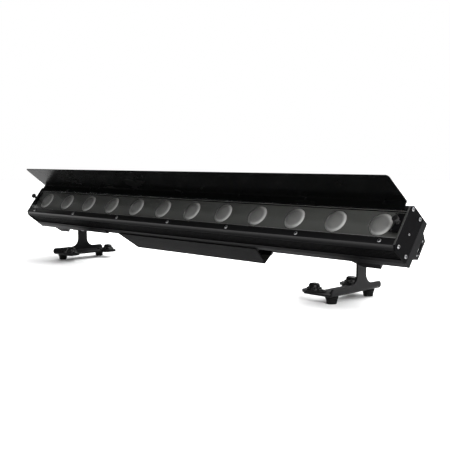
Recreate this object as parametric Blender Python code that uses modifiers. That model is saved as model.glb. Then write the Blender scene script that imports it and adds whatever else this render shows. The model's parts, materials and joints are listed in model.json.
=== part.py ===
"""A stage light: a tilting bar of twelve lenses behind glass, on two floor brackets.

The bar has its own frame: X along the bar, w back from the front face and v up across
the face. The whole bar leans back on the two bracket pivots by TILT.
"""

from math import acos, asin, atan2, cos, pi, radians, sin, sqrt, tan

import bmesh
import bpy
from mathutils import Matrix, Vector

FIT = 0.0003                # gap between pieces that touch
SLIDE_GAP = 0.0004          # gap round a piece that slides
EPS = 0.002                 # how far a cutter runs past the face that it cuts

# The bar
BAR_LENGTH = 1.018
BAR_HEIGHT = 0.080
FACE_HEIGHT = 0.0685        # flat middle of the front, between the two chamfers
CHAMFER_DEPTH = 0.0073
JOINT_DEPTH = 0.0418        # where the front extrusion ends and the rear covers start
BACK_DEPTH = 0.0553         # back of the rear covers
TILT = radians(37.2)

# Front extrusion, with fins along both sides
BODY_INSET = 0.0025         # fins stand this far inside the bezels and covers
FIN_END = 0.0335            # depth where the fins end and a plain strip starts
FIN_COUNT = 6
FIN_LAND = 0.0020           # plain strip before the first groove
GROOVE_WIDTH = 0.0024
GROOVE_DEPTH = 0.0045
FLOOR_DEPTH = 0.0203        # face to the floor that carries the board
REAR_POCKET_DEPTH = 0.027
REAR_POCKET_HEIGHT = 0.054

# Bezels, glass, mask and optics
BEZEL_THICKNESS = 0.0034
BEZEL_SKIRT = 0.0032
BEZEL_BEND = 0.0018
OPTIC_V = 0.0035            # height of the lens row on the face
GLASS_HEIGHT = 0.0511
GLASS_THICKNESS = 0.003
GLASS_SET_BACK = 0.0004
GLASS_LAND = 0.0023         # width of the ledge under each long edge of the glass
MASK_DEPTH = 0.0065
MASK_THICKNESS = 0.0015
MASK_LEDGE = 0.0020
LENS_COUNT = 12
LENS_FROM_END = 0.0437      # end of the bar to the middle of the end lens
LENS_DIAMETER = 0.0400
LENS_RISE = 0.0019          # crown of the dome above its rim
LENS_RIM = 0.0024
LENS_RIM_HEIGHT = 0.0118    # foot to rim
LENS_FOOT_RADIUS = 0.0095
LED_SIZE = 0.007
LED_HEIGHT = 0.0012
BOARD_THICKNESS = 0.0016

# End plates
END_PLATE = 0.003

# Clips that hold the glass at its two ends, with their thumb knobs
CLIP_LENGTH = 0.0165
CLIP_HEIGHT = 0.032
CLIP_THICKNESS = 0.0021
CLIP_HOLLOW_RADIUS = 0.024
CLIP_END_GAP = 0.0007
KNOB_FROM_END = 0.0085
KNOB_SCREW_RADIUS = 0.0020
KNOB_HEAD_RADIUS = 0.0052
KNOB_HEAD_LENGTH = 0.0060
KNOB_STEM_RADIUS = 0.0029
KNOB_HEIGHT = 0.0125

# Visor
VISOR_INSET = 0.0095        # end of the bar to the end of the visor
VISOR_REACH = 0.066
VISOR_SHEET = 0.0015
VISOR_TOP = 0.0429          # height of the blade on the face
VISOR_LAP = 0.0015          # how far the flange laps over the glass
VISOR_CORNER = 0.005

# Rear covers and rail
COVER_WALL = 0.0025
COVER_SPLIT = 0.241         # X where the side covers meet the middle one
RAIL_START = 0.203
RAIL_DEPTH = 0.0124
RAIL_ROOT = 0.0486
RAIL_BACK = 0.0332
RAIL_V = -0.001
SLOT_THROAT = 0.0086
SLOT_WIDTH = 0.0168
SLOT_FLOOR = 0.0031         # rail root to the slot's floor
SLOT_HEIGHT = 0.0042

# Electronics box
BOX_LENGTH = 0.400          # at its front edge
BOX_FRONT = 0.050
BOX_HEIGHT = 0.0795
BOX_TAPER = 0.28            # how much each end leans in, per unit of depth
BOX_BACK = 0.1080
BOX_WALL = 0.0022
BOX_SLOPE_START = 0.1022
BOX_BACK_HEIGHT = 0.0388
BULKHEAD_FROM_END = 0.0319   # box's end to its bulkhead, at the depth of the sockets
BULKHEAD = 0.003
CONNECTOR_DEPTH = 0.079
CONNECTOR_SPREAD = 0.0165
CONNECTOR_RADIUS = 0.0119
CONNECTOR_FLANGE = 0.026
DATA_SOCKET_RADIUS = 0.0094
POWER_SOCKET_RADIUS = 0.0082
SOCKET_DEPTH = 0.014

# Rear panel with the display and the buttons
PANEL_LENGTH = 0.366
PANEL_HEIGHT = 0.0325
PANEL_THICKNESS = 0.0036
OPENING_MARGIN = 0.0005      # room past the buttons and the display, under the panel
PANEL_OPENING_HEIGHT = 0.026
DISPLAY_LENGTH = 0.042
DISPLAY_HEIGHT = 0.018
DISPLAY_X = -0.024
BUTTON_RADIUS = 0.0035
BUTTON_FLANGE = 0.0010
BUTTON_PITCH = 0.0115
BUTTON_FIRST_X = 0.0125
BUTTON_TRAVEL = 0.0012
BUTTON_STAND = 0.0016
BUTTON_NAMES = ("menu", "up", "down", "enter")
BOARD_GAP = 0.0062          # control board to the panel's back
SUPPLY_LENGTH = 0.130
SUPPLY_DEPTH = 0.036
SUPPLY_HEIGHT = 0.060
SUPPLY_FROM_BULKHEAD = 0.017

# Pivots and brackets
PIVOT_BEHIND = 0.028        # back of the rear covers to the pivot axis
PIVOT_V = -0.0139
PIVOT_HEIGHT = 0.0706       # pivot axis above the floor
BRACKET_FROM_END = 0.111    # end of the bar to the outer side of each bracket's upright
BRACKET_SHEET = 0.0038
BRACKET_FRONT = 0.0789      # pivot axis to the front end of the base
BRACKET_BACK = 0.0551
BASE_HEIGHT = 0.013         # height of the upright's foot strip
BASE_CORNER = 0.0055
NECK_WIDTH = 0.0235
NECK_FILLET = 0.0175
EYE_RADIUS = 0.013
BEND_RADIUS = 0.006
FLANGE_REACH = 0.063        # upright's outer side to the ends of the two ears
FLANGE_WAIST = 0.046
EAR_WIDTH = 0.0335
EAR_CORNER = 0.011
FOOT_HEIGHT = 0.0125
FOOT_RADIUS = 0.008
FOOT_TOP_RADIUS = 0.0105
FOOT_IN = 0.014             # upright's outer side to the feet
FOOT_FROM_END = 0.0169
LOCK_IN = 0.049             # upright's outer side to the quick locks
LOCK_FROM_END = 0.0165
LOCK_RADIUS = 0.0108
LOCK_TOP_RADIUS = 0.0082
LOCK_HEIGHT = 0.0115
LOCK_WASHER_RADIUS = 0.0122
LOCK_WASHER = 0.0016
LOCK_STUD_RADIUS = 0.0036
LOCK_STUD_LENGTH = 0.0018
LOCK_GRIPS = 6
LOCK_GRIP_RADIUS = 0.0024
LOCK_PLATE = 0.0016         # oval plate under each quick lock
LOCK_PLATE_LENGTH = 0.044
LOCK_PLATE_WIDTH = 0.032

# Rail clamps and pivot bolts
CLAMP_LENGTH = 0.059        # length of each clamp along the rail
CLAMP_LOW = -0.0383
CLAMP_TOP = 0.014
CLAMP_LUG_DEPTH = 0.0178    # how far the lug under the rail reaches back
CLAMP_LUG_TOP = -0.024
CLAMP_BACK_SET = 0.0013     # back face of the clamp's block, in front of the pivot axis
CLAMP_LUG_IN = 0.021        # how far the lug's back edge is drawn in at its two ends
CLAMP_LUG_OUT = 0.008
CLAMP_TONGUE = 0.022
BOSS_RADIUS = 0.0105
BOSS_LENGTH = 0.032
BOLT_RADIUS = 0.0045
BOLT_LENGTH = 0.028
BOLT_HEAD = 0.0060
BOLT_HEAD_RADIUS = 0.0084
WASHER_RADIUS = 0.0105
WASHER_THICKNESS = 0.0012

LENS_STEPS = 20
KNOB_STEPS = 24
HOLE_STEPS = 24

# Heights and depths that follow from the sizes above
HALF_LENGTH = BAR_LENGTH / 2
LENS_PITCH = (BAR_LENGTH - 2 * LENS_FROM_END) / (LENS_COUNT - 1)
BRACKET_X = HALF_LENGTH - BRACKET_FROM_END
HALF_HEIGHT = BAR_HEIGHT / 2
HALF_FACE = FACE_HEIGHT / 2
INNER_END = HALF_LENGTH - END_PLATE - FIT
BODY_FRONT = BEZEL_THICKNESS + FIT
BODY_HALF = HALF_HEIGHT - BODY_INSET
COVER_FRONT = JOINT_DEPTH + FIT
BOX_HALF = BOX_HEIGHT / 2
RAIL_ROOT_W = BACK_DEPTH + FIT
RAIL_BACK_W = RAIL_ROOT_W + RAIL_DEPTH
GLASS_FRONT = BODY_FRONT - FIT - GLASS_THICKNESS
CLIP_BACK = GLASS_FRONT - FIT
CLIP_FRONT = CLIP_BACK - CLIP_THICKNESS
BOARD_BACK = FLOOR_DEPTH - FIT
BOARD_FRONT = BOARD_BACK - BOARD_THICKNESS
LENS_FOOT = BOARD_FRONT - FIT
CHANNEL_HALF = GLASS_HEIGHT / 2 - GLASS_LAND
KNOB_X = HALF_LENGTH - KNOB_FROM_END
BOX_END_X = BOX_LENGTH / 2 - BOX_TAPER * (CONNECTOR_DEPTH - BOX_FRONT)
BULKHEAD_X = BOX_END_X - BULKHEAD_FROM_END
SUPPLY_X = SUPPLY_FROM_BULKHEAD + SUPPLY_LENGTH / 2 - BULKHEAD_X
LAST_BUTTON_X = BUTTON_FIRST_X + (len(BUTTON_NAMES) - 1) * BUTTON_PITCH
OPENING_HALF = OPENING_MARGIN + max(LAST_BUTTON_X + BUTTON_RADIUS + BUTTON_FLANGE,
                                    DISPLAY_LENGTH / 2 - DISPLAY_X)
PANEL_FRONT = BOX_BACK + FIT
PANEL_BACK = PANEL_FRONT + PANEL_THICKNESS
PIVOT_DEPTH = BACK_DEPTH + PIVOT_BEHIND
CLAMP_BACK = PIVOT_DEPTH - CLAMP_BACK_SET
FLOOR_Z = -PIVOT_HEIGHT     # floor in a bracket's frame, whose origin is on the pivot
FLANGE_Z = FLOOR_Z + FOOT_HEIGHT
EAR_TOP_Z = FLANGE_Z + BRACKET_SHEET
PIVOT_Y = (BRACKET_FRONT - BRACKET_BACK) / 2


def start_scene():
    """Remove what the scene holds and make the two collections."""
    for old in list(bpy.data.objects):
        bpy.data.objects.remove(old, do_unlink=True)
    parts = bpy.data.collections.new("led_wash_bar")
    tools = bpy.data.collections.new("cutters")
    for group in (parts, tools):
        bpy.context.scene.collection.children.link(group)
    return parts, tools


PARTS, CUTTERS = start_scene()


def finish(name, color, roughness, metallic, alpha=1.0):
    """A Principled material."""
    material = bpy.data.materials.new(name)
    material.use_nodes = True
    shader = material.node_tree.nodes["Principled BSDF"]
    shader.inputs["Base Color"].default_value = (*color, 1.0)
    shader.inputs["Roughness"].default_value = roughness
    shader.inputs["Metallic"].default_value = metallic
    shader.inputs["Alpha"].default_value = alpha
    return material


BLACK_PAINT = finish("black_paint", (0.012, 0.012, 0.013), 0.42, 0.0)
BLACK_ANODISED = finish("black_anodised", (0.016, 0.016, 0.018), 0.38, 0.6)
GREY_ANODISED = finish("grey_anodised", (0.045, 0.045, 0.048), 0.40, 0.6)
BLACK_PLASTIC = finish("black_plastic", (0.014, 0.014, 0.014), 0.50, 0.0)
BLACK_RUBBER = finish("black_rubber", (0.018, 0.018, 0.018), 0.80, 0.0)
WINDOW_GLASS = finish("window_glass", (0.85, 0.88, 0.86), 0.05, 0.0, 0.18)
MASK_GREY = finish("mask_grey", (0.045, 0.047, 0.042), 0.45, 0.0)
FROSTED_LENS = finish("frosted_lens", (0.32, 0.33, 0.31), 0.35, 0.0)
BOARD_GREEN = finish("board_green", (0.02, 0.10, 0.05), 0.45, 0.0)
BRIGHT_STEEL = finish("bright_steel", (0.55, 0.55, 0.56), 0.25, 1.0)
DISPLAY_BLACK = finish("display_black", (0.006, 0.008, 0.010), 0.08, 0.0)


def frame_empty(name, parent=None, location=(0.0, 0.0, 0.0), turn=(0.0, 0.0, 0.0)):
    """An empty that carries the pieces of one frame."""
    empty = bpy.data.objects.new(name, None)
    empty.empty_display_size = 0.02
    empty.location = location
    empty.rotation_euler = turn
    empty.parent = parent
    PARTS.objects.link(empty)
    return empty


def solid(name, mesh, material, parent, location=(0.0, 0.0, 0.0), turn=(0.0, 0.0, 0.0)):
    """Make a mesh a named sub-part with its material."""
    piece = bpy.data.objects.new(name, mesh)
    piece.data.materials.append(material)
    piece.location = location
    piece.rotation_euler = turn
    piece.parent = parent
    PARTS.objects.link(piece)
    return piece


def shape(piece, mesh, operation):
    """Cut, join or trim a piece with another mesh that stands in the piece's own frame."""
    tool = bpy.data.objects.new(piece.name + "_" + operation.lower(), mesh)
    tool.hide_render = True
    tool.display_type = "WIRE"
    tool.parent = piece.parent
    tool.location = piece.location
    tool.rotation_euler = piece.rotation_euler
    CUTTERS.objects.link(tool)
    boolean = piece.modifiers.new(operation.title(), "BOOLEAN")
    boolean.operation = operation
    boolean.solver = "EXACT"
    boolean.object = tool
    return piece


def rounded(corners, steps=4):
    """An outline from corners (a, b, radius), with an arc at each corner that has a radius."""
    outline = []
    count = len(corners)
    for index, (a, b, radius) in enumerate(corners):
        here = Vector((a, b))
        if radius <= 0.0:
            outline.append((a, b))
            continue
        back = (Vector(corners[index - 1][:2]) - here).normalized()
        ahead = (Vector(corners[(index + 1) % count][:2]) - here).normalized()
        half = acos(max(-1.0, min(1.0, back.dot(ahead)))) / 2
        centre = here + (back + ahead).normalized() * radius / sin(half)
        first = here + back * radius / tan(half) - centre
        last = here + ahead * radius / tan(half) - centre
        turn = atan2(first.x * last.y - first.y * last.x, first.dot(last))
        start = atan2(first.y, first.x)
        for step in range(steps + 1):
            angle = start + turn * step / steps
            outline.append((centre.x + radius * cos(angle), centre.y + radius * sin(angle)))
    return outline


def circle(a, b, radius, steps=HOLE_STEPS):
    """The outline of a round hole or disc."""
    return [(a + radius * cos(2 * pi * step / steps), b + radius * sin(2 * pi * step / steps))
            for step in range(steps)]


def oval(a, b, half_a, half_b, steps=28):
    """The outline of an ellipse."""
    return [(a + half_a * cos(2 * pi * step / steps), b + half_b * sin(2 * pi * step / steps))
            for step in range(steps)]


AXIS_TURNS = {
    "X": Matrix(((0, 0, 1), (1, 0, 0), (0, 1, 0))).to_4x4(),
    "Y": Matrix(((1, 0, 0), (0, 0, -1), (0, 1, 0))).to_4x4(),
    "Z": Matrix.Identity(4),
}


def extruded(outline, axis, start, end, holes=()):
    """A flat outline drawn out along one axis, from start to end.

    Along X the outline is (Y, Z), along Y it is (X, Z) and along Z it is (X, Y).
    """
    curve = bpy.data.curves.new("outline", "CURVE")
    curve.dimensions = "2D"
    curve.fill_mode = "BOTH"
    curve.extrude = abs(end - start) / 2
    for loop in (outline, *holes):
        spline = curve.splines.new("POLY")
        spline.points.add(len(loop) - 1)
        for point, (a, b) in zip(spline.points, loop):
            point.co = (a, b, 0.0, 1.0)
        spline.use_cyclic_u = True
    holder = bpy.data.objects.new("outline", curve)
    bpy.context.scene.collection.objects.link(holder)
    graph = bpy.context.evaluated_depsgraph_get()
    mesh = bpy.data.meshes.new_from_object(holder.evaluated_get(graph))
    bpy.data.objects.remove(holder, do_unlink=True)
    bpy.data.curves.remove(curve)
    mesh.materials.clear()
    mesh.transform(AXIS_TURNS[axis])
    shift = [0.0, 0.0, 0.0]
    shift["XYZ".index(axis)] = (start + end) / 2
    mesh.transform(Matrix.Translation(shift))
    weld(mesh)
    return mesh


def weld(mesh):
    """Join the loose caps of a mesh to its walls and turn the faces out."""
    work = bmesh.new()
    work.from_mesh(mesh)
    bmesh.ops.remove_doubles(work, verts=work.verts, dist=0.000002)
    bmesh.ops.recalc_face_normals(work, faces=work.faces)
    work.to_mesh(mesh)
    work.free()


def block(low, high):
    """A box between two corners."""
    work = bmesh.new()
    bmesh.ops.create_cube(work, size=1.0)
    size = [top - bottom for bottom, top in zip(low, high)]
    middle = [(top + bottom) / 2 for bottom, top in zip(low, high)]
    bmesh.ops.scale(work, vec=size, verts=work.verts)
    bmesh.ops.translate(work, vec=middle, verts=work.verts)
    mesh = bpy.data.meshes.new("block")
    work.to_mesh(mesh)
    work.free()
    return mesh


def joined(meshes):
    """Several separate closed meshes as one mesh, for use as a cutter."""
    work = bmesh.new()
    for mesh in meshes:
        work.from_mesh(mesh)
    result = bpy.data.meshes.new("joined")
    work.to_mesh(result)
    work.free()
    return result


def turned(name, profile, steps, material, parent, location, turn):
    """A turned piece: a profile of (radius, height) from its top down the outer side."""
    mesh = bpy.data.meshes.new(name)
    points = [(radius, 0.0, height) for radius, height in profile]
    edges = [(index, index + 1) for index in range(len(points) - 1)]
    mesh.from_pydata(points, edges, [])
    piece = solid(name, mesh, material, parent, location, turn)
    screw = piece.modifiers.new("Screw", "SCREW")
    screw.axis = "Z"
    screw.angle = 2 * pi
    screw.steps = steps
    screw.render_steps = steps
    screw.use_merge_vertices = True
    screw.merge_threshold = 0.00001
    screw.use_smooth_shade = True
    return piece


TO_FRONT = (pi / 2, 0.0, 0.0)       # a turned piece's height points to the front
TO_BACK = (-pi / 2, 0.0, 0.0)


def mirrored(points, side):
    """Outline points (X, b), mirrored to the left when side is -1."""
    return [(a * side, b) for a, b in points]


def side_name(side):
    return "right" if side > 0 else "left"


# The bar's frame: the pivot axis is at its place above the floor, the bar leans back
pivot_in_bar = Vector((0.0, PIVOT_DEPTH, PIVOT_V))
lean = Matrix.Rotation(-TILT, 3, "X")
bar_place = Vector((0.0, PIVOT_Y, PIVOT_HEIGHT)) - lean @ pivot_in_bar


def visor_tip():
    """The visor's front edge in the bar's frame, as (w, v)."""
    return (-FIT - VISOR_REACH, VISOR_TOP)


def centre_in_depth():
    """Shift in Y that puts the origin under the middle of the whole object."""
    tip_w, tip_v = visor_tip()
    front = (bar_place + lean @ Vector((0.0, tip_w, tip_v - VISOR_SHEET))).y
    back = PIVOT_Y + BRACKET_BACK
    return -(front + back) / 2


Y_SHIFT = centre_in_depth()
bar = frame_empty("bar", location=bar_place + Vector((0.0, Y_SHIFT, 0.0)), turn=(-TILT, 0.0, 0.0))


def body_outline():
    """Section of the front extrusion: a channel for the optics, fins outside, a pocket behind."""
    def half(sign):
        land = OPTIC_V + sign * CHANNEL_HALF
        bend = sign * (HALF_FACE - BEZEL_BEND - FIT)
        skirt = sign * (HALF_HEIGHT - BEZEL_SKIRT - FIT)
        edge = sign * BODY_HALF
        root = sign * (BODY_HALF - GROOVE_DEPTH)
        ledge_w = MASK_DEPTH + MASK_THICKNESS + FIT
        ledge_v = land - sign * MASK_LEDGE
        start = CHAMFER_DEPTH + FIT
        pitch = (FIN_END - start - FIN_LAND) / FIN_COUNT
        points = [(FLOOR_DEPTH, ledge_v), (ledge_w, ledge_v), (ledge_w, land), (BODY_FRONT, land),
                  (BODY_FRONT, bend), (start, skirt), (start, edge)]
        for fin in range(FIN_COUNT):
            near = start + FIN_LAND + fin * pitch
            far = near + GROOVE_WIDTH
            points += [(near, edge), (near, root), (far, root), (far, edge)]
        pocket = sign * REAR_POCKET_HEIGHT / 2
        points += [(FIN_END, edge), (FIN_END, sign * HALF_HEIGHT), (JOINT_DEPTH, sign * HALF_HEIGHT),
                   (JOINT_DEPTH, pocket), (REAR_POCKET_DEPTH, pocket)]
        return points
    return half(1) + half(-1)[::-1]


def make_body():
    """The long front extrusion and the board that it carries."""
    solid("heatsink_body", extruded(body_outline(), "X", -INNER_END, INNER_END), BLACK_ANODISED, bar)
    half = CHANNEL_HALF - MASK_LEDGE - FIT
    board = [(BOARD_FRONT, OPTIC_V - half), (BOARD_BACK, OPTIC_V - half),
             (BOARD_BACK, OPTIC_V + half), (BOARD_FRONT, OPTIC_V + half)]
    piece = solid("led_board", extruded(board, "X", -INNER_END, INNER_END), BOARD_GREEN, bar)
    half_led = LED_SIZE / 2
    emitters = [block((x - half_led, BOARD_FRONT - LED_HEIGHT, OPTIC_V - half_led),
                      (x + half_led, BOARD_FRONT + BOARD_THICKNESS / 2, OPTIC_V + half_led))
                for x in lens_places()]
    shape(piece, joined(emitters), "UNION")


def lens_places():
    """X of each lens, the row centred on the bar."""
    return [(index - (LENS_COUNT - 1) / 2) * LENS_PITCH for index in range(LENS_COUNT)]


def make_optics():
    """Lens bodies, the mask round them and the glass in front."""
    radius = LENS_DIAMETER / 2
    rim = LENS_RIM_HEIGHT
    curve = (radius ** 2 + LENS_RISE ** 2) / (2 * LENS_RISE)
    reach = asin(radius / curve)
    dome = [(curve * sin(reach * part), rim + LENS_RISE - curve * (1 - cos(reach * part)))
            for part in (0.0, 0.4, 0.72, 1.0)]
    recess = LED_HEIGHT + FIT * 3
    socket = LED_SIZE * 0.8
    profile = dome + [(radius, rim - LENS_RIM), (radius - 0.0024, rim - LENS_RIM - 0.0004),
                      (LENS_FOOT_RADIUS, 0.0), (socket, 0.0), (socket, recess), (0.0, recess)]
    for number, x in enumerate(lens_places(), start=1):
        turned(f"lens_{number:02d}", profile, LENS_STEPS, FROSTED_LENS, bar,
               (x, LENS_FOOT, OPTIC_V), TO_FRONT)

    half = CHANNEL_HALF - FIT
    mask = [(-INNER_END, OPTIC_V - half), (INNER_END, OPTIC_V - half),
            (INNER_END, OPTIC_V + half), (-INNER_END, OPTIC_V + half)]
    holes = [circle(x, OPTIC_V, radius + FIT) for x in lens_places()]
    screw_holes = [circle(side * KNOB_X, OPTIC_V, KNOB_SCREW_RADIUS + FIT, 12) for side in (-1, 1)]
    solid("lens_mask", extruded(mask, "Y", MASK_DEPTH, MASK_DEPTH + MASK_THICKNESS,
                                holes + screw_holes), MASK_GREY, bar)

    top = OPTIC_V + GLASS_HEIGHT / 2
    low = OPTIC_V - GLASS_HEIGHT / 2
    pane = [(-INNER_END, low), (INNER_END, low), (INNER_END, top), (-INNER_END, top)]
    solid("front_glass", extruded(pane, "Y", GLASS_FRONT, GLASS_FRONT + GLASS_THICKNESS,
                                  screw_holes), WINDOW_GLASS, bar)


def make_bezels():
    """The two long bezels, each a flat strip with a skirt bent back over the corner."""
    for name, sign in (("bezel_lower", -1), ("bezel_upper", 1)):
        edge = OPTIC_V + sign * (GLASS_HEIGHT / 2 + FIT)
        section = [(0.0, edge), (0.0, sign * HALF_FACE), (CHAMFER_DEPTH, sign * HALF_HEIGHT),
                   (CHAMFER_DEPTH, sign * (HALF_HEIGHT - BEZEL_SKIRT)),
                   (BEZEL_THICKNESS, sign * (HALF_FACE - BEZEL_BEND)), (BEZEL_THICKNESS, edge)]
        solid(name, extruded(section, "X", -INNER_END, INNER_END), BLACK_ANODISED, bar)


def rail_slot(gap=0.0, mouth=0.0):
    """The T slot in the rail's back, as (w, v) points from its lower lip to its upper lip."""
    throat = SLOT_THROAT / 2 - gap
    wide = SLOT_WIDTH / 2 - gap
    floor = RAIL_ROOT_W + SLOT_FLOOR + gap
    roof = RAIL_ROOT_W + SLOT_FLOOR + SLOT_HEIGHT - gap
    lip = RAIL_BACK_W + mouth
    half = [(lip, throat), (roof, throat), (roof, wide), (floor, wide)]
    lower = [(w, RAIL_V - v) for w, v in half]
    upper = [(w, RAIL_V + v) for w, v in half]
    return lower + upper[::-1]


def rail_sides():
    """Outer corners of the rail's section, as (root half, back half)."""
    return RAIL_ROOT / 2, RAIL_BACK / 2


def make_ends():
    """End plates over the front extrusion, and the plates that close covers and rail."""
    front = [(0.0, -HALF_FACE), (CHAMFER_DEPTH, -HALF_HEIGHT), (JOINT_DEPTH, -HALF_HEIGHT),
             (JOINT_DEPTH, HALF_HEIGHT), (CHAMFER_DEPTH, HALF_HEIGHT), (0.0, HALF_FACE)]
    root, back = rail_sides()
    rear = [(COVER_FRONT, -HALF_HEIGHT), (BACK_DEPTH, -HALF_HEIGHT), (BACK_DEPTH, RAIL_V - root),
            (RAIL_BACK_W, RAIL_V - back), (RAIL_BACK_W, RAIL_V + back), (BACK_DEPTH, RAIL_V + root),
            (BACK_DEPTH, HALF_HEIGHT), (COVER_FRONT, HALF_HEIGHT)]
    floor = RAIL_ROOT_W + SLOT_FLOOR
    wide = SLOT_WIDTH / 2
    slot = [(floor, RAIL_V - wide), (floor + SLOT_HEIGHT, RAIL_V - wide),
            (floor + SLOT_HEIGHT, RAIL_V + wide), (floor, RAIL_V + wide)]
    for side in (-1, 1):
        near = side * (HALF_LENGTH - END_PLATE)
        far = side * HALF_LENGTH
        solid("end_plate_" + side_name(side), extruded(front, "X", near, far), BLACK_PAINT, bar)
        solid("rear_end_plate_" + side_name(side), extruded(rear, "X", near, far, [slot]),
              GREY_ANODISED, bar)


def cover_outline(half, wall=COVER_WALL):
    """Section of a rear cover: a shallow tray that opens to the front."""
    return rounded([(COVER_FRONT, -half, 0.0), (BACK_DEPTH, -half, 0.0012), (BACK_DEPTH, half, 0.0012),
                    (COVER_FRONT, half, 0.0), (COVER_FRONT, half - wall, 0.0),
                    (BACK_DEPTH - wall, half - wall, 0.0), (BACK_DEPTH - wall, wall - half, 0.0),
                    (COVER_FRONT, wall - half, 0.0)], 2)


def make_covers():
    """Three rear covers and the two slotted rails on their backs."""
    root, back = rail_sides()
    rail = ([(RAIL_ROOT_W, RAIL_V - root), (RAIL_BACK_W, RAIL_V - back)] + rail_slot()
            + [(RAIL_BACK_W, RAIL_V + back), (RAIL_ROOT_W, RAIL_V + root)])
    for side in (-1, 1):
        solid("rear_cover_" + side_name(side),
              extruded(cover_outline(HALF_HEIGHT), "X", side * COVER_SPLIT, side * INNER_END),
              GREY_ANODISED, bar)
        solid("rail_" + side_name(side),
              extruded(rail, "X", side * RAIL_START, side * INNER_END), BLACK_ANODISED, bar)
    middle = COVER_SPLIT - FIT
    solid("rear_cover_middle", extruded(cover_outline(BOX_HALF - BOX_WALL - FIT), "X", -middle, middle),
          GREY_ANODISED, bar)


def make_visor():
    """The visor: one bent sheet, a flange on the upper bezel and a blade to the front."""
    low = OPTIC_V + GLASS_HEIGHT / 2 - VISOR_LAP
    front, top = visor_tip()
    section = rounded([(-FIT, low, 0.0), (-FIT, top, 0.0024), (front, top, 0.0),
                       (front, top - VISOR_SHEET, 0.0), (-FIT - VISOR_SHEET, top - VISOR_SHEET, 0.0009),
                       (-FIT - VISOR_SHEET, low, 0.0)])
    half = HALF_LENGTH - VISOR_INSET
    visor = solid("visor", extruded(section, "X", -half, half), BLACK_PAINT, bar)
    plan = rounded([(-half, EPS, 0.0), (-half, front, VISOR_CORNER), (half, front, VISOR_CORNER),
                    (half, EPS, 0.0)])
    shape(visor, extruded(plan, "Z", low - EPS, top + EPS), "INTERSECT")


def make_clips():
    """Clips over the two ends of the glass, each with a thumb knob."""
    outer = HALF_LENGTH - END_PLATE - CLIP_END_GAP
    inner = outer - CLIP_LENGTH
    half = CLIP_HEIGHT / 2
    centre = inner - sqrt(CLIP_HOLLOW_RADIUS ** 2 - half ** 2)
    sweep = asin(half / CLIP_HOLLOW_RADIUS)
    hollow = [(centre + CLIP_HOLLOW_RADIUS * cos(angle), OPTIC_V - CLIP_HOLLOW_RADIUS * sin(angle))
              for angle in (sweep * (1 - step / 4) for step in range(9))]
    frame = hollow + [(outer, OPTIC_V + half), (outer, OPTIC_V - half)]
    hole = circle(KNOB_X, OPTIC_V, KNOB_SCREW_RADIUS + FIT, 12)
    neck = KNOB_HEIGHT - KNOB_HEAD_LENGTH
    tip = MASK_DEPTH + MASK_THICKNESS - CLIP_FRONT + FIT
    knob = [(0.0, KNOB_HEIGHT), (KNOB_HEAD_RADIUS - 0.0007, KNOB_HEIGHT),
            (KNOB_HEAD_RADIUS, KNOB_HEIGHT - 0.0007), (KNOB_HEAD_RADIUS, neck + 0.0006),
            (KNOB_HEAD_RADIUS - 0.0006, neck), (KNOB_STEM_RADIUS, neck), (KNOB_STEM_RADIUS, 0.0),
            (KNOB_SCREW_RADIUS, 0.0), (KNOB_SCREW_RADIUS, -tip), (0.0, -tip)]
    for side in (-1, 1):
        plate = extruded(mirrored(frame, side), "Y", CLIP_FRONT, CLIP_BACK, [mirrored(hole, side)])
        solid("window_clip_" + side_name(side), plate, BLACK_PAINT, bar)
        turned("thumb_knob_" + side_name(side), knob, KNOB_STEPS, BLACK_PLASTIC, bar,
               (side * KNOB_X, CLIP_FRONT - FIT, OPTIC_V), TO_FRONT)


def box_plan(past):
    """Plan of the electronics box, (X, w), its ends leaning in towards the back."""
    half = BOX_LENGTH / 2
    back = BOX_BACK + past
    tail = half - BOX_TAPER * (back - BOX_FRONT)
    return [(-half, BOX_FRONT), (half, BOX_FRONT), (tail, back), (-tail, back)]


def box_sides(inset):
    """Upper half of the box's section, from the front edge to the back, (w, v)."""
    slope = atan2(BOX_HALF - BOX_BACK_HEIGHT / 2, BOX_BACK - BOX_SLOPE_START)
    start = BOX_SLOPE_START - inset * tan(slope / 2)
    back = BOX_BACK - inset
    tail = BOX_BACK_HEIGHT / 2 - inset * tan((pi / 2 - slope) / 2)
    return [(start, BOX_HALF - inset), (back, tail)]


def make_box():
    """The electronics box: a shell over the middle cover, with sockets in its open ends."""
    outer = box_sides(0.0)
    inner = box_sides(BOX_WALL)
    upper = [(BOX_FRONT, BOX_HALF)] + outer
    lining = [(BOX_FRONT, BOX_HALF - BOX_WALL)] + inner
    section = (upper + [(w, -v) for w, v in reversed(upper)]
               + [(w, -v) for w, v in lining] + lining[::-1])
    half = BOX_LENGTH / 2
    box = solid("electronics_box", extruded(section, "X", -half, half), BLACK_PAINT, bar)
    shape(box, extruded(box_plan(EPS), "Z", -BOX_HALF - EPS, BOX_HALF + EPS), "INTERSECT")
    wall = BOX_WALL / 2
    filled = box_sides(wall)
    web = [(RAIL_ROOT_W, BOX_HALF - wall)] + filled
    web = web + [(w, -v) for w, v in reversed(web)]
    holes = [circle(CONNECTOR_DEPTH, sign * CONNECTOR_SPREAD, CONNECTOR_RADIUS + FIT)
             for sign in (-1, 1)]
    webs = [extruded(web, "X", side * BULKHEAD_X, side * (BULKHEAD_X + BULKHEAD), holes)
            for side in (-1, 1)]
    shape(box, joined(webs), "UNION")
    mouth = (OPENING_HALF, PANEL_OPENING_HEIGHT / 2)
    shape(box, block((-mouth[0], BOX_BACK - BOX_WALL - EPS, -mouth[1]),
                     (mouth[0], BOX_BACK + EPS, mouth[1])), "DIFFERENCE")


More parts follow.
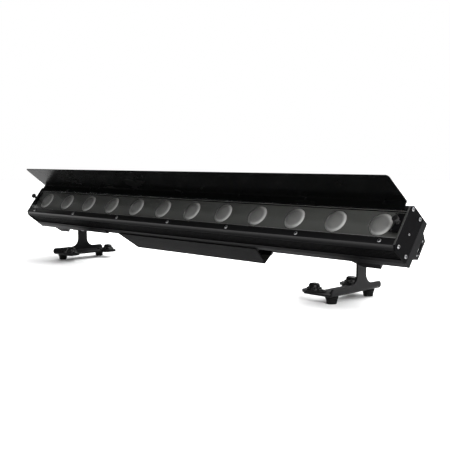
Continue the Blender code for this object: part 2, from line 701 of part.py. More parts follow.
def make_connector(name, side, v, socket):
    """A panel socket in the box's open end: a square flange, a barrel and a round well."""
    face = BULKHEAD_X + BULKHEAD + FIT
    half = CONNECTOR_FLANGE / 2
    flange = rounded([(CONNECTOR_DEPTH - half, v - half, 0.003), (CONNECTOR_DEPTH + half, v - half, 0.003),
                      (CONNECTOR_DEPTH + half, v + half, 0.003), (CONNECTOR_DEPTH - half, v + half, 0.003)], 2)
    piece = solid(name, extruded(flange, "X", side * face, side * (face + 0.0022)), BLACK_PLASTIC, bar)
    barrel = circle(CONNECTOR_DEPTH, v, CONNECTOR_RADIUS)
    lip = face + 0.0044
    shape(piece, extruded(barrel, "X", side * (lip - SOCKET_DEPTH - 0.003), side * lip), "UNION")
    well = circle(CONNECTOR_DEPTH, v, socket, 20)
    shape(piece, extruded(well, "X", side * (lip - SOCKET_DEPTH), side * (lip + EPS)), "DIFFERENCE")


def make_panel():
    """Rear panel, display, buttons, control board and power supply."""
    half = (PANEL_LENGTH / 2, PANEL_HEIGHT / 2)
    frame = rounded([(-half[0], -half[1], 0.003), (half[0], -half[1], 0.003),
                     (half[0], half[1], 0.003), (-half[0], half[1], 0.003)], 3)
    screen = (DISPLAY_LENGTH / 2, DISPLAY_HEIGHT / 2)

    def screen_outline(grow):
        a, b = screen[0] + grow, screen[1] + grow
        return [(DISPLAY_X - a, -b), (DISPLAY_X + a, -b), (DISPLAY_X + a, b), (DISPLAY_X - a, b)]

    places = [BUTTON_FIRST_X + index * BUTTON_PITCH for index in range(len(BUTTON_NAMES))]
    holes = [circle(x, 0.0, BUTTON_RADIUS + FIT, 16) for x in places]
    solid("rear_panel", extruded(frame, "Y", PANEL_FRONT, PANEL_BACK, [screen_outline(FIT)] + holes),
          BLACK_PAINT, bar)
    solid("display_window", extruded(screen_outline(0.0), "Y", PANEL_FRONT + FIT, PANEL_BACK - FIT),
          DISPLAY_BLACK, bar)
    flange = BUTTON_RADIUS + BUTTON_FLANGE
    below = PANEL_THICKNESS + FIT
    button = [(0.0, BUTTON_STAND), (BUTTON_RADIUS - 0.0006, BUTTON_STAND),
              (BUTTON_RADIUS, BUTTON_STAND - 0.0005), (BUTTON_RADIUS, -below),
              (flange, -below), (flange, -below - 0.0014), (0.0, -below - 0.0014)]
    for name, x in zip(BUTTON_NAMES, places):
        turned("button_" + name, button, 16, BLACK_RUBBER, bar, (x, PANEL_BACK, 0.0), TO_BACK)

    board_back = PANEL_FRONT - BOARD_GAP
    reach = (OPENING_HALF - FIT * 3, PANEL_OPENING_HEIGHT / 2 - FIT * 3)
    board = solid("control_board", block((-reach[0], board_back - BOARD_THICKNESS, -reach[1]),
                                         (reach[0], board_back, reach[1])), BOARD_GREEN, bar)
    posts = [extruded(circle(a * (reach[0] - 0.003), b * (reach[1] - 0.003), 0.0022, 10), "Y",
                      board_back - BOARD_THICKNESS / 2, PANEL_FRONT - FIT)
             for a in (-1, 1) for b in (-1, 1)]
    shape(board, joined(posts), "UNION")

    near = RAIL_ROOT_W
    case = solid("power_supply", block((SUPPLY_X - SUPPLY_LENGTH / 2, near, -SUPPLY_HEIGHT / 2),
                                       (SUPPLY_X + SUPPLY_LENGTH / 2, near + SUPPLY_DEPTH,
                                        SUPPLY_HEIGHT / 2)), BRIGHT_STEEL, bar)
    edges = case.modifiers.new("Bevel", "BEVEL")
    edges.width = 0.0015
    edges.segments = 1


def make_clamp(side):
    """Rail clamp: a T tongue in the rail's slot, a lug under the rail and a boss for the pivot."""
    name = side_name(side)
    carriage = frame_empty("carriage_" + name, bar, (side * BRACKET_X, PIVOT_DEPTH, PIVOT_V))
    root, back = rail_sides()
    gap = SLIDE_GAP
    behind = RAIL_BACK_W + gap
    side_gap = gap * 1.3
    front = BACK_DEPTH + gap
    lug_back = BACK_DEPTH + CLAMP_LUG_DEPTH

    def place(w, v):
        return (w - PIVOT_DEPTH, v - PIVOT_V)

    corners = [(front, CLAMP_LOW, 0.0), (lug_back, CLAMP_LOW, 0.0015), (lug_back, CLAMP_LUG_TOP, 0.003),
               (CLAMP_BACK, CLAMP_LUG_TOP + 0.003, 0.003), (CLAMP_BACK, CLAMP_TOP, 0.004),
               (behind, CLAMP_TOP, 0.0), (behind, RAIL_V - back - side_gap, 0.0),
               (front, RAIL_V - root - side_gap, 0.0)]
    section = rounded([(*place(w, v), radius) for w, v, radius in corners])
    near = gap
    far = CLAMP_LENGTH + gap
    clamp = solid("rail_clamp_" + name, extruded(section, "X", side * near, side * far),
                  BLACK_ANODISED, carriage)
    lug_w = lug_back - PIVOT_DEPTH
    front_w = BACK_DEPTH - PIVOT_DEPTH
    back_w = CLAMP_BACK + EPS - PIVOT_DEPTH
    plan = rounded([(near, front_w, 0.0), (far, front_w, 0.0), (far - CLAMP_LUG_OUT, lug_w, 0.004),
                    (far - CLAMP_LUG_OUT, back_w, 0.0), (near + CLAMP_LUG_IN, back_w, 0.0),
                    (near + CLAMP_LUG_IN, lug_w, 0.006)])
    shape(clamp, extruded(mirrored(plan, side), "Z", CLAMP_LOW - PIVOT_V - EPS,
                          CLAMP_TOP - PIVOT_V + EPS), "INTERSECT")
    tongue_start = near + CLAMP_LUG_IN + 0.003
    tongue = [place(w, v) for w, v in rail_slot(gap, gap + 0.001)]
    shape(clamp, extruded(tongue, "X", side * tongue_start, side * (tongue_start + CLAMP_TONGUE)),
          "UNION")
    boss = extruded(circle(0.0, 0.0, BOSS_RADIUS), "X", side * near, side * (near + BOSS_LENGTH))
    shape(clamp, boss, "UNION")
    bore = extruded(circle(0.0, 0.0, BOLT_RADIUS + FIT, 20), "X", side * (near - EPS),
                    side * (BOLT_LENGTH + 2 * FIT))
    shape(clamp, bore, "DIFFERENCE")

    under = BRACKET_SHEET + FIT
    top = under + WASHER_THICKNESS
    profile = [(0.0, top), (WASHER_RADIUS, top), (WASHER_RADIUS, under), (BOLT_RADIUS, under),
               (BOLT_RADIUS, -BOLT_LENGTH), (0.0, -BOLT_LENGTH)]
    bolt = turned("pivot_bolt_" + name, profile, 20, BRIGHT_STEEL, carriage, (0.0, 0.0, 0.0),
                  (0.0, -side * pi / 2, 0.0))
    hexagon = circle(0.0, 0.0, BOLT_HEAD_RADIUS, 6)
    shape(bolt, extruded(hexagon, "Z", under + WASHER_THICKNESS / 2, top + BOLT_HEAD), "UNION")


def bracket_side_outline():
    """Side view of a bracket, (y, z) from its pivot: a foot strip, a waisted neck and an eye."""
    half = NECK_WIDTH / 2
    low = FLANGE_Z
    top = FLANGE_Z + BASE_HEIGHT
    spread = asin(half / EYE_RADIUS)
    eye = [(EYE_RADIUS * sin(angle), -EYE_RADIUS * cos(angle))
           for angle in (spread + (2 * pi - 2 * spread) * step / 16 for step in range(17))]
    strip = rounded([(-BRACKET_FRONT, top, BASE_CORNER), (-BRACKET_FRONT, low, 0.003),
                     (BRACKET_BACK, low, 0.003), (BRACKET_BACK, top, BASE_CORNER),
                     (half, top, NECK_FILLET), (half, 0.0, 0.0), (-half, 0.0, 0.0),
                     (-half, top, NECK_FILLET)], 6)
    neck_right = strip.index((half, 0.0))
    return strip[:neck_right] + eye + strip[neck_right + 2:]


def bracket_plan():
    """Plan of a bracket, (X in from the outer side, y): two ears and a narrower waist."""
    reach = -FLANGE_REACH
    waist = -FLANGE_WAIST
    front = -BRACKET_FRONT - FIT
    back = BRACKET_BACK + FIT
    return rounded([(EPS, front, 0.0), (EPS, back, 0.0), (reach, back, EAR_CORNER),
                    (reach, back - EAR_WIDTH, EAR_CORNER), (waist, back - EAR_WIDTH, 0.006),
                    (waist, front + EAR_WIDTH, 0.006), (reach, front + EAR_WIDTH, EAR_CORNER),
                    (reach, front, EAR_CORNER)])


def make_bracket(side):
    """One floor bracket of bent sheet, with two rubber feet and two quick locks."""
    name = side_name(side)
    hinge = frame_empty("bracket_" + name, None,
                        (side * BRACKET_X, PIVOT_Y + Y_SHIFT, PIVOT_HEIGHT))
    top = EYE_RADIUS + EPS
    end = -FLANGE_REACH - EPS
    bend = rounded([(end, FLANGE_Z, 0.0), (0.0, FLANGE_Z, BEND_RADIUS), (0.0, top, 0.0),
                    (-BRACKET_SHEET, top, 0.0), (-BRACKET_SHEET, EAR_TOP_Z, BEND_RADIUS - BRACKET_SHEET),
                    (end, EAR_TOP_Z, 0.0)])
    plate = solid("bracket_" + name + "_plate",
                  extruded(mirrored(bend, side), "Y", -BRACKET_FRONT - EPS, BRACKET_BACK + EPS),
                  BLACK_PAINT, hinge)
    side_cut = extruded(bracket_side_outline(), "X", side * (end - EPS), side * EPS,
                        [circle(0.0, 0.0, BOLT_RADIUS + SLIDE_GAP, 20)])
    shape(plate, side_cut, "INTERSECT")
    locks = [(-LOCK_IN, -BRACKET_FRONT + LOCK_FROM_END), (-LOCK_IN, BRACKET_BACK - LOCK_FROM_END)]
    plan_cut = extruded(mirrored(bracket_plan(), side), "Z", FLANGE_Z - EPS, top + EPS)
    shape(plate, plan_cut, "INTERSECT")
    ovals = [extruded(mirrored(oval(x, y, LOCK_PLATE_LENGTH / 2, LOCK_PLATE_WIDTH / 2), side), "Z",
                      EAR_TOP_Z - BRACKET_SHEET / 2, EAR_TOP_Z + LOCK_PLATE) for x, y in locks]
    shape(plate, joined(ovals), "UNION")
    holes = [extruded(mirrored(circle(x, y, LOCK_STUD_RADIUS + FIT, 16), side), "Z", FLANGE_Z - EPS,
                      EAR_TOP_Z + LOCK_PLATE + EPS) for x, y in locks]
    shape(plate, joined(holes), "DIFFERENCE")

    foot = [(0.0, FOOT_HEIGHT - FIT), (FOOT_TOP_RADIUS, FOOT_HEIGHT - FIT),
            (FOOT_TOP_RADIUS, FOOT_HEIGHT - 0.0030), (FOOT_RADIUS + 0.0008, 0.0012),
            (FOOT_RADIUS, 0.0), (0.0, 0.0)]
    places = (("front", -BRACKET_FRONT + FOOT_FROM_END), ("back", BRACKET_BACK - FOOT_FROM_END))
    for end, y in places:
        turned(f"foot_{name}_{end}", foot, 20, BLACK_RUBBER, hinge,
               (-side * FOOT_IN, y, FLOOR_Z), (0.0, 0.0, 0.0))
    for (end, _), (x, y) in zip(places, locks):
        make_quick_lock(f"quick_lock_{name}_{end}", hinge, (side * x, y, EAR_TOP_Z + LOCK_PLATE + FIT))


def make_quick_lock(name, hinge, place):
    """A quarter-turn lock: a domed knob with grips, its washer and the stud through the ear."""
    stud_end = -FIT - BRACKET_SHEET - LOCK_PLATE - LOCK_STUD_LENGTH
    profile = [(0.0, LOCK_HEIGHT), (LOCK_TOP_RADIUS - 0.0026, LOCK_HEIGHT),
               (LOCK_TOP_RADIUS, LOCK_HEIGHT - 0.0014), (LOCK_RADIUS, LOCK_WASHER + 0.0030),
               (LOCK_RADIUS, LOCK_WASHER), (LOCK_WASHER_RADIUS, LOCK_WASHER),
               (LOCK_WASHER_RADIUS, 0.0), (LOCK_STUD_RADIUS, 0.0), (LOCK_STUD_RADIUS, stud_end),
               (0.0, stud_end)]
    knob = turned(name, profile, KNOB_STEPS, BLACK_PLASTIC, hinge, place, (0.0, 0.0, 0.0))
    grips = []
    for index in range(LOCK_GRIPS):
        angle = 2 * pi * (index + 0.5) / LOCK_GRIPS
        grips.append(extruded(circle((LOCK_RADIUS + 0.0008) * cos(angle), (LOCK_RADIUS + 0.0008) * sin(angle),
                                     LOCK_GRIP_RADIUS, 10), "Z", LOCK_WASHER + 0.0025, LOCK_HEIGHT + EPS))
    shape(knob, joined(grips), "DIFFERENCE")


make_body()
make_optics()
make_bezels()
make_ends()
make_covers()
make_visor()
make_clips()
make_box()
for row, v_sign, well in (("data", -1, DATA_SOCKET_RADIUS), ("power", 1, POWER_SOCKET_RADIUS)):
    for flow, end_side in (("inlet", 1), ("outlet", -1)):
        make_connector(row + "_" + flow, end_side, v_sign * CONNECTOR_SPREAD, well)
make_panel()
for bar_side in (-1, 1):
    make_clamp(bar_side)
    make_bracket(bar_side)
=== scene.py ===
# %% [markdown]
# A wash bar is a long stage light: a row of frosted lenses behind one pane of glass, in a
# black metal housing that leans back on two floor brackets. The solids of the housing, the
# visor, the rails and the brackets are already made and packed. This lesson loads them as a
# fixed frame and gives them what a camera sees: finishes with grain and wear, rounded edges
# that catch the light, real lenses, knobs and screws.

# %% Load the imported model
import json
from math import cos, degrees, pi, radians, sin

import bmesh
import bpy
from mathutils import Matrix, Vector

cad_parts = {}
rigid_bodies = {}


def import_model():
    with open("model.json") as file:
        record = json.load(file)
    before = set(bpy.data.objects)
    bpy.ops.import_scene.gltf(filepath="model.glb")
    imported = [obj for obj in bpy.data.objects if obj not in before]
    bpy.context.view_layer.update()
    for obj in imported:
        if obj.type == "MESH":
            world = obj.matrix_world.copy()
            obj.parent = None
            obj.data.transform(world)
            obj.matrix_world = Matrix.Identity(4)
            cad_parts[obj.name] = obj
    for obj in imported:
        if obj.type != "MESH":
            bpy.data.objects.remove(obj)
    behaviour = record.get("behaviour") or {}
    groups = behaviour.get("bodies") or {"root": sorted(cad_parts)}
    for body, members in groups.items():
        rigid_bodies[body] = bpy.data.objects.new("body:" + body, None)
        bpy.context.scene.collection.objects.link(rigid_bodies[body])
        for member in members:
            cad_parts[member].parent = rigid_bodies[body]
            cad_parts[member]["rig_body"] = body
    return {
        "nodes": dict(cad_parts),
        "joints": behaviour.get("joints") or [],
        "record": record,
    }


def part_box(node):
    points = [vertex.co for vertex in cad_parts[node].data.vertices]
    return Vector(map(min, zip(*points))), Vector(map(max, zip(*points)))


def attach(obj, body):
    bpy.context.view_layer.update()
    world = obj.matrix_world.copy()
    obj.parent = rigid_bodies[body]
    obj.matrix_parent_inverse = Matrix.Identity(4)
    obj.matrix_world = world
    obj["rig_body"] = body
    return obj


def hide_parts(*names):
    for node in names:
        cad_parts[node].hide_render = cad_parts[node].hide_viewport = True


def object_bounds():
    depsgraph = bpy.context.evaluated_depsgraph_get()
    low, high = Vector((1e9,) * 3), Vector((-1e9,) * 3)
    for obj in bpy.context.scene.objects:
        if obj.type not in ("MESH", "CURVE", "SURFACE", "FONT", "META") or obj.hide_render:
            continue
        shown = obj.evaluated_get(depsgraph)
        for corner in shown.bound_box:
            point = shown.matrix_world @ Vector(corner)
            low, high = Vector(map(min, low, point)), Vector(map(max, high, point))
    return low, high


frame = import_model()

cad_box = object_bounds()
nodes = frame["nodes"]
body_of_node = {name: node["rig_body"] for name, node in nodes.items()}

# %% [markdown]
# Everything on the bar is measured in the bar's own frame: X along it, w back from the front
# face and v up across the face. The bar leans back, so a piece drawn upright has to be leaned
# too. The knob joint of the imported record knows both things: its axis is the w direction and
# its place is a known point of the face.

# %% Find the leaning frame of the bar
knob_joint = {item["name"]: item for item in frame["joints"]}["turn_knob_right"]
OPTIC_V = 0.0035                  # height of the lens row on the face
along = Vector((1.0, 0.0, 0.0))
depth = Vector(knob_joint["axis"]).normalized()
height = along.cross(depth)
bar_origin = Vector(knob_joint["pos_m"]) - height * OPTIC_V
bar_origin.x = 0.0
BAR = Matrix.Translation(bar_origin) @ Matrix((along, depth, height)).transposed().to_4x4()


def on_bar(x, w, v):
    """Matrix that puts a piece's origin at a point of the bar, its axes along X, w and v."""
    return BAR @ Matrix.Translation((x, w, v))


TO_FRONT = Matrix.Rotation(pi / 2, 4, "X")         # local Z comes to point out of the face
TO_BACK = Matrix.Rotation(-pi / 2, 4, "X")
TO_RIGHT = Matrix.Rotation(pi / 2, 4, "Y")
TO_LEFT = Matrix.Rotation(-pi / 2, 4, "Y")
print("the bar leans", round(degrees(Vector((0, 1, 0)).angle(depth)), 2), "degrees")

# %% [markdown]
# The photograph was taken from the right, a little above the bar, with a long lens. The
# camera comes first, because every finish is judged through it. The numbers come from
# matching the corners of the housing and the visor with their places in the picture.

# %% Camera at the photograph's angle
camera_data = bpy.data.cameras.new("camera")
camera_data.sensor_width = 36.0
camera_data.lens = 61.335
camera = bpy.data.objects.new("camera", camera_data)
camera.location = (1.1182, -1.0147, 0.2286)
camera.rotation_euler = (radians(85.1), 0.0, radians(45.196))
bpy.context.scene.collection.objects.link(camera)
bpy.context.scene.camera = camera
print("camera", tuple(round(c, 3) for c in camera.location))

# %% [markdown]
# Shaders are written as sums. A small class wraps a socket of a node tree, so that
# `0.4 + grain * 0.1` adds the Math nodes by itself. A graph holds the tree, and its one
# method makes every other node. The floor, the room and all the finishes are built this way.

# %% Shader sums in Python
def operator_pair(operation):
    """An operator as a Math node, and its reflected form, which makes 1 - mask work."""
    def forward(self, other):
        return self.maths(operation, self, other)

    def reflected(self, other):
        return self.maths(operation, other, self)

    return forward, reflected


class Signal:
    """A socket whose value varies from place to place."""

    __add__, __radd__ = operator_pair("ADD")
    __sub__, __rsub__ = operator_pair("SUBTRACT")
    __mul__, __rmul__ = operator_pair("MULTIPLY")
    __truediv__, __rtruediv__ = operator_pair("DIVIDE")
    __pow__, __rpow__ = operator_pair("POWER")

    def __init__(self, graph, socket):
        self.graph = graph
        self.socket = socket

    def __abs__(self):
        return self.maths("ABSOLUTE", self)

    def maths(self, operation, *values):
        return self.graph.node("ShaderNodeMath", {"operation": operation}, dict(enumerate(values)))

    def ramp(self, low, high):
        """0 below low, 1 above high, and smooth between them."""
        return self.graph.node("ShaderNodeMapRange", {"interpolation_type": "SMOOTHSTEP"},
                               {"Value": self, "From Min": low, "From Max": high})


class Graph:
    """A node tree and the shader at its end, whose fixed values are given by their names."""

    def __init__(self, tree, shader, **fixed):
        self.tree = tree
        self.shader = tree.nodes[shader]
        for socket, value in fixed.items():
            self.shader.inputs[socket.replace("_", " ")].default_value = value

    def node(self, kind, settings=(), values=(), output=0):
        """Add a node of a type, with its settings and the values or links of its sockets."""
        made = self.tree.nodes.new(kind)
        for key, value in dict(settings).items():
            setattr(made, key, value)
        for key, value in dict(values).items():
            if isinstance(value, Signal):
                self.tree.links.new(value.socket, made.inputs[key])
            else:
                made.inputs[key].default_value = value
        return Signal(self, made.outputs[output])

    def vector(self, operation, *values, output=0):
        return self.node("ShaderNodeVectorMath", {"operation": operation},
                         dict(enumerate(values)), output)

    def feed(self, socket, signal):
        self.tree.links.new(signal.socket, self.shader.inputs[socket])


print("shader sums ready")

# %% [markdown]
# A finish is a material and the patterns that it is mixed from. All patterns use the
# object's own coordinates, so they stay on a piece when a joint moves. One pattern needs a
# direction: a pale film on the faces that look up, which is settled dust and also painted
# light from above.

# %% Materials and their patterns
# colour of the pale film on upward faces: settled dust and painted light from above
TOP_LIGHT_DUST_COLOUR = (0.060, 0.059, 0.055)
MIX_SHARE, MIX_FIRST, MIX_SECOND, MIX_RESULT = 0, 6, 7, 2     # a Mix node's sockets for colours


class Finish(Graph):
    """A material with a Principled shader, and the patterns that feed it."""

    def __init__(self, name, **fixed):
        self.material = bpy.data.materials.new(name)
        self.material.use_nodes = True
        super().__init__(self.material.node_tree, "Principled BSDF", **fixed)

    def place(self, stretch=(1.0, 1.0, 1.0)):
        """The surface point in the object's own coordinates, each axis scaled."""
        return self.vector("MULTIPLY", self.node("ShaderNodeTexCoord", output="Object"), stretch)

    def noise(self, stretch, detail=2.0, rough=0.5):
        spot = self.place(stretch if isinstance(stretch, tuple) else (stretch,) * 3)
        return self.node("ShaderNodeTexNoise", {}, {"Vector": spot, "Scale": 1.0, "Detail": detail,
                                                    "Roughness": rough}, "Fac")

    def cells(self, scale):
        spot = self.place((scale,) * 3)
        return self.node("ShaderNodeTexVoronoi", {}, {"Vector": spot, "Scale": 1.0}, "Distance")

    def mix(self, share, first, second):
        """A colour between two colours."""
        first, second = (c if isinstance(c, Signal) else (*c, 1.0) for c in (first, second))
        return self.node("ShaderNodeMix", {"data_type": "RGBA"},
                         {MIX_SHARE: share, MIX_FIRST: first, MIX_SECOND: second}, MIX_RESULT)

    def paint_top_light_and_dust(self, shade, patches, share):
        """A pale film over a shade on the faces that look up, thicker in some patches: settled dust and
        painted light from above.
        """
        normal = self.node("ShaderNodeTexCoord", output="Normal")
        upward = self.vector("DOT_PRODUCT", normal, (0.0, 0.0, 1.0), output="Value").ramp(0.6, 0.95)
        return self.mix(upward * (0.6 + patches * 0.8) * share, shade, TOP_LIGHT_DUST_COLOUR)

    def bump(self, signal, strength, distance):
        self.feed("Normal", self.node("ShaderNodeBump", {}, {"Height": signal, "Strength": strength,
                                                             "Distance": distance}))


def grey(level, blue=0.0):
    """A neutral colour; a little more blue makes a colder one."""
    return (level, level, level + blue)


def paler(colour, gain, lift):
    return tuple(channel * gain + lift for channel in colour)


print("patterns ready")

# %% [markdown]
# The bar stands on white paper. The paper glows a little by itself, so that it stays white
# under a soft light, and the glow fades near the two brackets, which leaves the feet their
# shadows. Taking the absolute place makes one bracket's fade serve for both.

# %% Floor
FLOOR_REACH = 6.0
BRACKET_SPOT = (0.37, 0.0, 0.0)
FADE = {"From Min": 0.07, "From Max": 0.22, "To Max": 0.55}
paper = Finish("white_paper", Base_Color=(0.86, 0.86, 0.86, 1.0), Roughness=0.6, Emission_Strength=1.0)
folded = paper.vector("ABSOLUTE", paper.node("ShaderNodeTexCoord", output="Object"))
reach = paper.vector("DISTANCE", folded, BRACKET_SPOT, output="Value")
paper.feed("Emission Color", paper.node("ShaderNodeMapRange", {}, {"Value": reach, **FADE}))

mesh = bpy.data.meshes.new("floor")
work = bmesh.new()
bmesh.ops.create_grid(work, x_segments=1, y_segments=1, size=FLOOR_REACH)
work.to_mesh(mesh)
work.free()
mesh.materials.append(paper.material)
floor = bpy.data.objects.new("floor", mesh)
bpy.context.scene.collection.objects.link(floor)
print("floor", 2 * FLOOR_REACH, "metres wide")

# %% [markdown]
# A black object shows mostly what it reflects. In a product studio that is a white sweep
# behind it and darkness in front and above, which draws the housing as a black shape with
# pale lower edges. So the room is white where the camera sees it, and dim in the mirror.

# %% Room
DIM_FRONT = 0.10
DIM_BACK = 0.30
WHITE_WALL = 1.0
bpy.context.scene.view_settings.view_transform = "Standard"
world = bpy.data.worlds.new("studio")
bpy.context.scene.world = world
world.use_nodes = True
room = Graph(world.node_tree, "Background", Color=(1.0, 1.0, 1.0, 1.0))
direction = room.node("ShaderNodeTexCoord", output="Generated")
backward = room.node("ShaderNodeSeparateXYZ", {}, {"Vector": direction}, "Y").ramp(-0.2, 0.9)
mirrored_wall = DIM_FRONT + backward * (DIM_BACK - DIM_FRONT)
seen = room.node("ShaderNodeLightPath", output="Is Camera Ray")
room.feed("Strength", mirrored_wall + seen * (WHITE_WALL - mirrored_wall))
print("room", world.name)

# %% [markdown]
# Wide, far lights fill the room without being mirrored. A key light at the right models the
# lenses. A softbox beside it gives the screws and the glass something to mirror, and so does
# a small white card at the left end.

# %% Lights
def far_light(name, toward, width, power):
    """A light so far off that it is even everywhere; toward points from the object to it."""
    light = bpy.data.lights.new(name, "SUN")
    light.angle = radians(width)
    light.energy = power
    lamp = bpy.data.objects.new(name, light)
    lamp.rotation_euler = Vector(toward).to_track_quat("Z", "Y").to_euler()
    lamp.visible_glossy = False
    bpy.context.scene.collection.objects.link(lamp)


def soft_light(name, place, aim, size, power, mirrored=True):
    """A rectangle of light that hangs at a place and shines toward its aim."""
    light = bpy.data.lights.new(name, "AREA")
    light.shape = "RECTANGLE"
    light.size, light.size_y = size
    light.energy = power
    lamp = bpy.data.objects.new(name, light)
    lamp.location = place
    lamp.rotation_euler = (Vector(aim) - Vector(place)).to_track_quat("-Z", "Y").to_euler()
    lamp.visible_camera = False
    lamp.visible_glossy = mirrored
    bpy.context.scene.collection.objects.link(lamp)


RIGHT_LENSES = (0.45, -0.03, 0.14)
LEFT_END = (-0.575, -0.03, 0.105)
far_light("back_sky", (0.0, 0.36, 0.93), 70.0, 2.0)
far_light("right_sky", (0.80, -0.15, 0.58), 60.0, 0.8)
soft_light("overhead", (0.3, 1.4, 2.2), (0.2, 0.5, 0.0), (3.4, 2.4), 80.0)
soft_light("key", (1.10, -0.47, 0.51), RIGHT_LENSES, (0.36, 0.36), 9.0, mirrored=False)
soft_light("softbox", (1.25, -0.60, 0.62), RIGHT_LENSES, (0.9, 0.9), 4.5)
soft_light("rear", (-0.9, 1.5, 0.75), (0.0, 0.08, 0.12), (1.2, 0.8), 40.0, mirrored=False)
soft_light("card", LEFT_END, (0.0, *LEFT_END[1:]), (0.16, 0.13), 0.03)
print(len(bpy.data.lights), "lights")

# %% [markdown]
# Powder coat is paint baked from dust, so under a lens it looks like fine orange peel with
# a few duller patches where hands and cloths rubbed it. One function makes all the painted
# finishes: a slow noise moves colour and roughness, a fine one makes the peel, and sparse
# specks of dust lie on top.

# %% Powder coat
def powder_coat(name, colour, rough, shine, wear=0.35, dusty=0.3, top_light_dust=0.45):
    finish = Finish(name, Specular_IOR_Level=shine)
    patches = finish.noise(14.0, 3.0, 0.55)
    rubbed = finish.noise((5.0, 60.0, 60.0), 4.0, 0.6).ramp(0.55, 0.78)
    peel = finish.noise(1500.0)
    specks = 1.0 - finish.cells(420.0).ramp(0.05, 0.16)
    dust = specks * finish.noise(45.0).ramp(0.52, 0.7)
    shade = finish.mix(patches * 0.5 + rubbed * wear, colour, paler(colour, 1.9, 0.0015))
    # faces that look up are painted paler: settled dust and painted light from above
    shade = finish.paint_top_light_and_dust(shade, patches, top_light_dust)
    finish.feed("Base Color", finish.mix(dust * dusty, shade, (0.09, 0.088, 0.082)))
    finish.feed("Roughness", rough - 0.06 + patches * 0.12 + dust * 0.2 - rubbed * 0.05)
    finish.bump(peel + patches * 0.4, 0.10, 0.0003)
    return finish.material


print("powder coat ready")

# %% [markdown]
# Extruded aluminium is pushed through a die, which leaves fine lines along its whole
# length. They are noise stretched until it is nearly constant along X. On the bezels, the
# bend between face and skirt is polished by handling, and the skirt's lower edge is dull.

# %% Anodised extrusion
def anodised(name, colour, rough, shine, metal=0.0, top_light_dust=0.45, polish=None):
    finish = Finish(name, Metallic=metal, Specular_IOR_Level=shine, Coat_Roughness=0.24)
    die = finish.noise((1.5, 1400.0, 1400.0), 3.0, 0.6)
    bands = finish.noise((0.8, 130.0, 130.0))
    patches = finish.noise(11.0, 3.0)
    scratches = finish.noise((25.0, 2200.0, 2200.0), 1.0).ramp(0.72, 0.80)
    shade = finish.mix(bands * 0.5 + patches * 0.4, colour, paler(colour, 1.7, 0.003))
    # faces that look up are painted paler: settled dust and painted light from above
    shade = finish.paint_top_light_and_dust(shade, patches, top_light_dust)
    finish.feed("Base Color", finish.mix(scratches * 0.12, shade, grey(0.12)))
    finish.feed("Roughness", rough - 0.08 + die * 0.10 + patches * 0.08)
    finish.bump(die + bands * 0.5, 0.12, 0.0002)
    if polish:
        finish.feed("Coat Weight", polish(finish))
    return finish.material


FACE_END_V = 0.0346               # where the face ends and the bend starts
SKIRT_V = 0.0384                  # middle of the skirt


def bezel_polish(finish):
    """Full on the bend and faint on the face, by the distance from the face's middle line."""
    level = finish.vector("DOT_PRODUCT", finish.place(), tuple(height), output="Value")
    reach = abs(level - bar_origin.dot(height))
    face = 1.0 - reach.ramp(FACE_END_V - 0.0010, FACE_END_V)
    bend = reach.ramp(FACE_END_V - 0.0008, FACE_END_V) * (1.0 - reach.ramp(FACE_END_V + 0.0002, SKIRT_V))
    return bend * 0.46 + face * 0.08


print("anodising ready")

# %% [markdown]
# Moulded plastic and rubber take their texture from the mould: a fine spark-eroded grain on
# the knobs, a coarser, duller one on the feet, which also pick up dust.

# %% Moulded plastic and rubber
def moulded(name, colour, rough, grain_scale, grain_depth, dusty=0.0, shine=0.5):
    finish = Finish(name, Specular_IOR_Level=shine)
    cloud = finish.noise(90.0, 3.0)
    dust = finish.noise(260.0, 4.0, 0.7).ramp(0.5, 0.75)
    shade = finish.mix(cloud * 0.7, colour, paler(colour, 1.7, 0.0015))
    finish.feed("Base Color", finish.mix(dust * dusty, shade, (0.10, 0.098, 0.09)))
    finish.feed("Roughness", rough - 0.05 + cloud * 0.12)
    finish.bump(finish.cells(grain_scale), grain_depth, 0.0002)
    return finish.material


print("moulded finishes ready")

# %% [markdown]
# Zinc plated steel, for the screws, the pivot bolts and the case of the power supply: pale
# metal, a little blue, with turning rings too fine to model, so they are noise.

# %% Bright steel
def plated(name, colour):
    finish = Finish(name, Metallic=1.0)
    cloud = finish.noise(120.0, 3.0)
    stain = finish.noise(400.0, 4.0, 0.7).ramp(0.55, 0.72)
    shade = finish.mix(cloud, colour, paler(colour, 0.72, 0.0))
    finish.feed("Base Color", finish.mix(stain * 0.35, shade, (0.16, 0.15, 0.13)))
    finish.feed("Roughness", 0.27 + cloud * 0.12 + stain * 0.15)
    finish.bump(finish.noise(2600.0), 0.12, 0.0001)
    return finish.material


print("plating ready")

# %% [markdown]
# The pane is clear. What makes glass read as glass is that it mirrors more at a flat angle
# than straight on. The shader is a mirror whose opacity follows Fresnel's law: nearly clear
# where you look into it, a pale veil where you look along it. Faint smears and dust keep it
# from being perfect.

# %% Window glass
def window_glass(name):
    finish = Finish(name, Metallic=1.0, Base_Color=(0.93, 0.96, 0.95, 1.0))
    flat = finish.node("ShaderNodeLayerWeight", {}, {"Blend": 0.5}, "Facing")
    smear = finish.noise((9.0, 40.0, 24.0), 4.0, 0.6).ramp(0.45, 0.8)
    dust = (1.0 - finish.cells(330.0).ramp(0.03, 0.10)) * finish.noise(30.0).ramp(0.5, 0.7)
    finish.feed("Alpha", flat ** 5.0 + 0.045 + smear * 0.012 + dust * 0.12)
    finish.feed("Roughness", 0.04 + smear * 0.10 + dust * 0.3)
    return finish.material


print("glass ready")

# %% [markdown]
# A frosted lens is milky plastic. Its skin is a low dome, but the light comes back from the
# steeper optic under the skin, so the bump carries a deeper bowl than the mesh, and light
# from one side draws a crescent. Toward the rim the milk is painted paler, a painted glow of
# light at the lens's edge. On top of that the bump holds the fine frosting and the faint
# rings of the moulding tool, all in real metres.

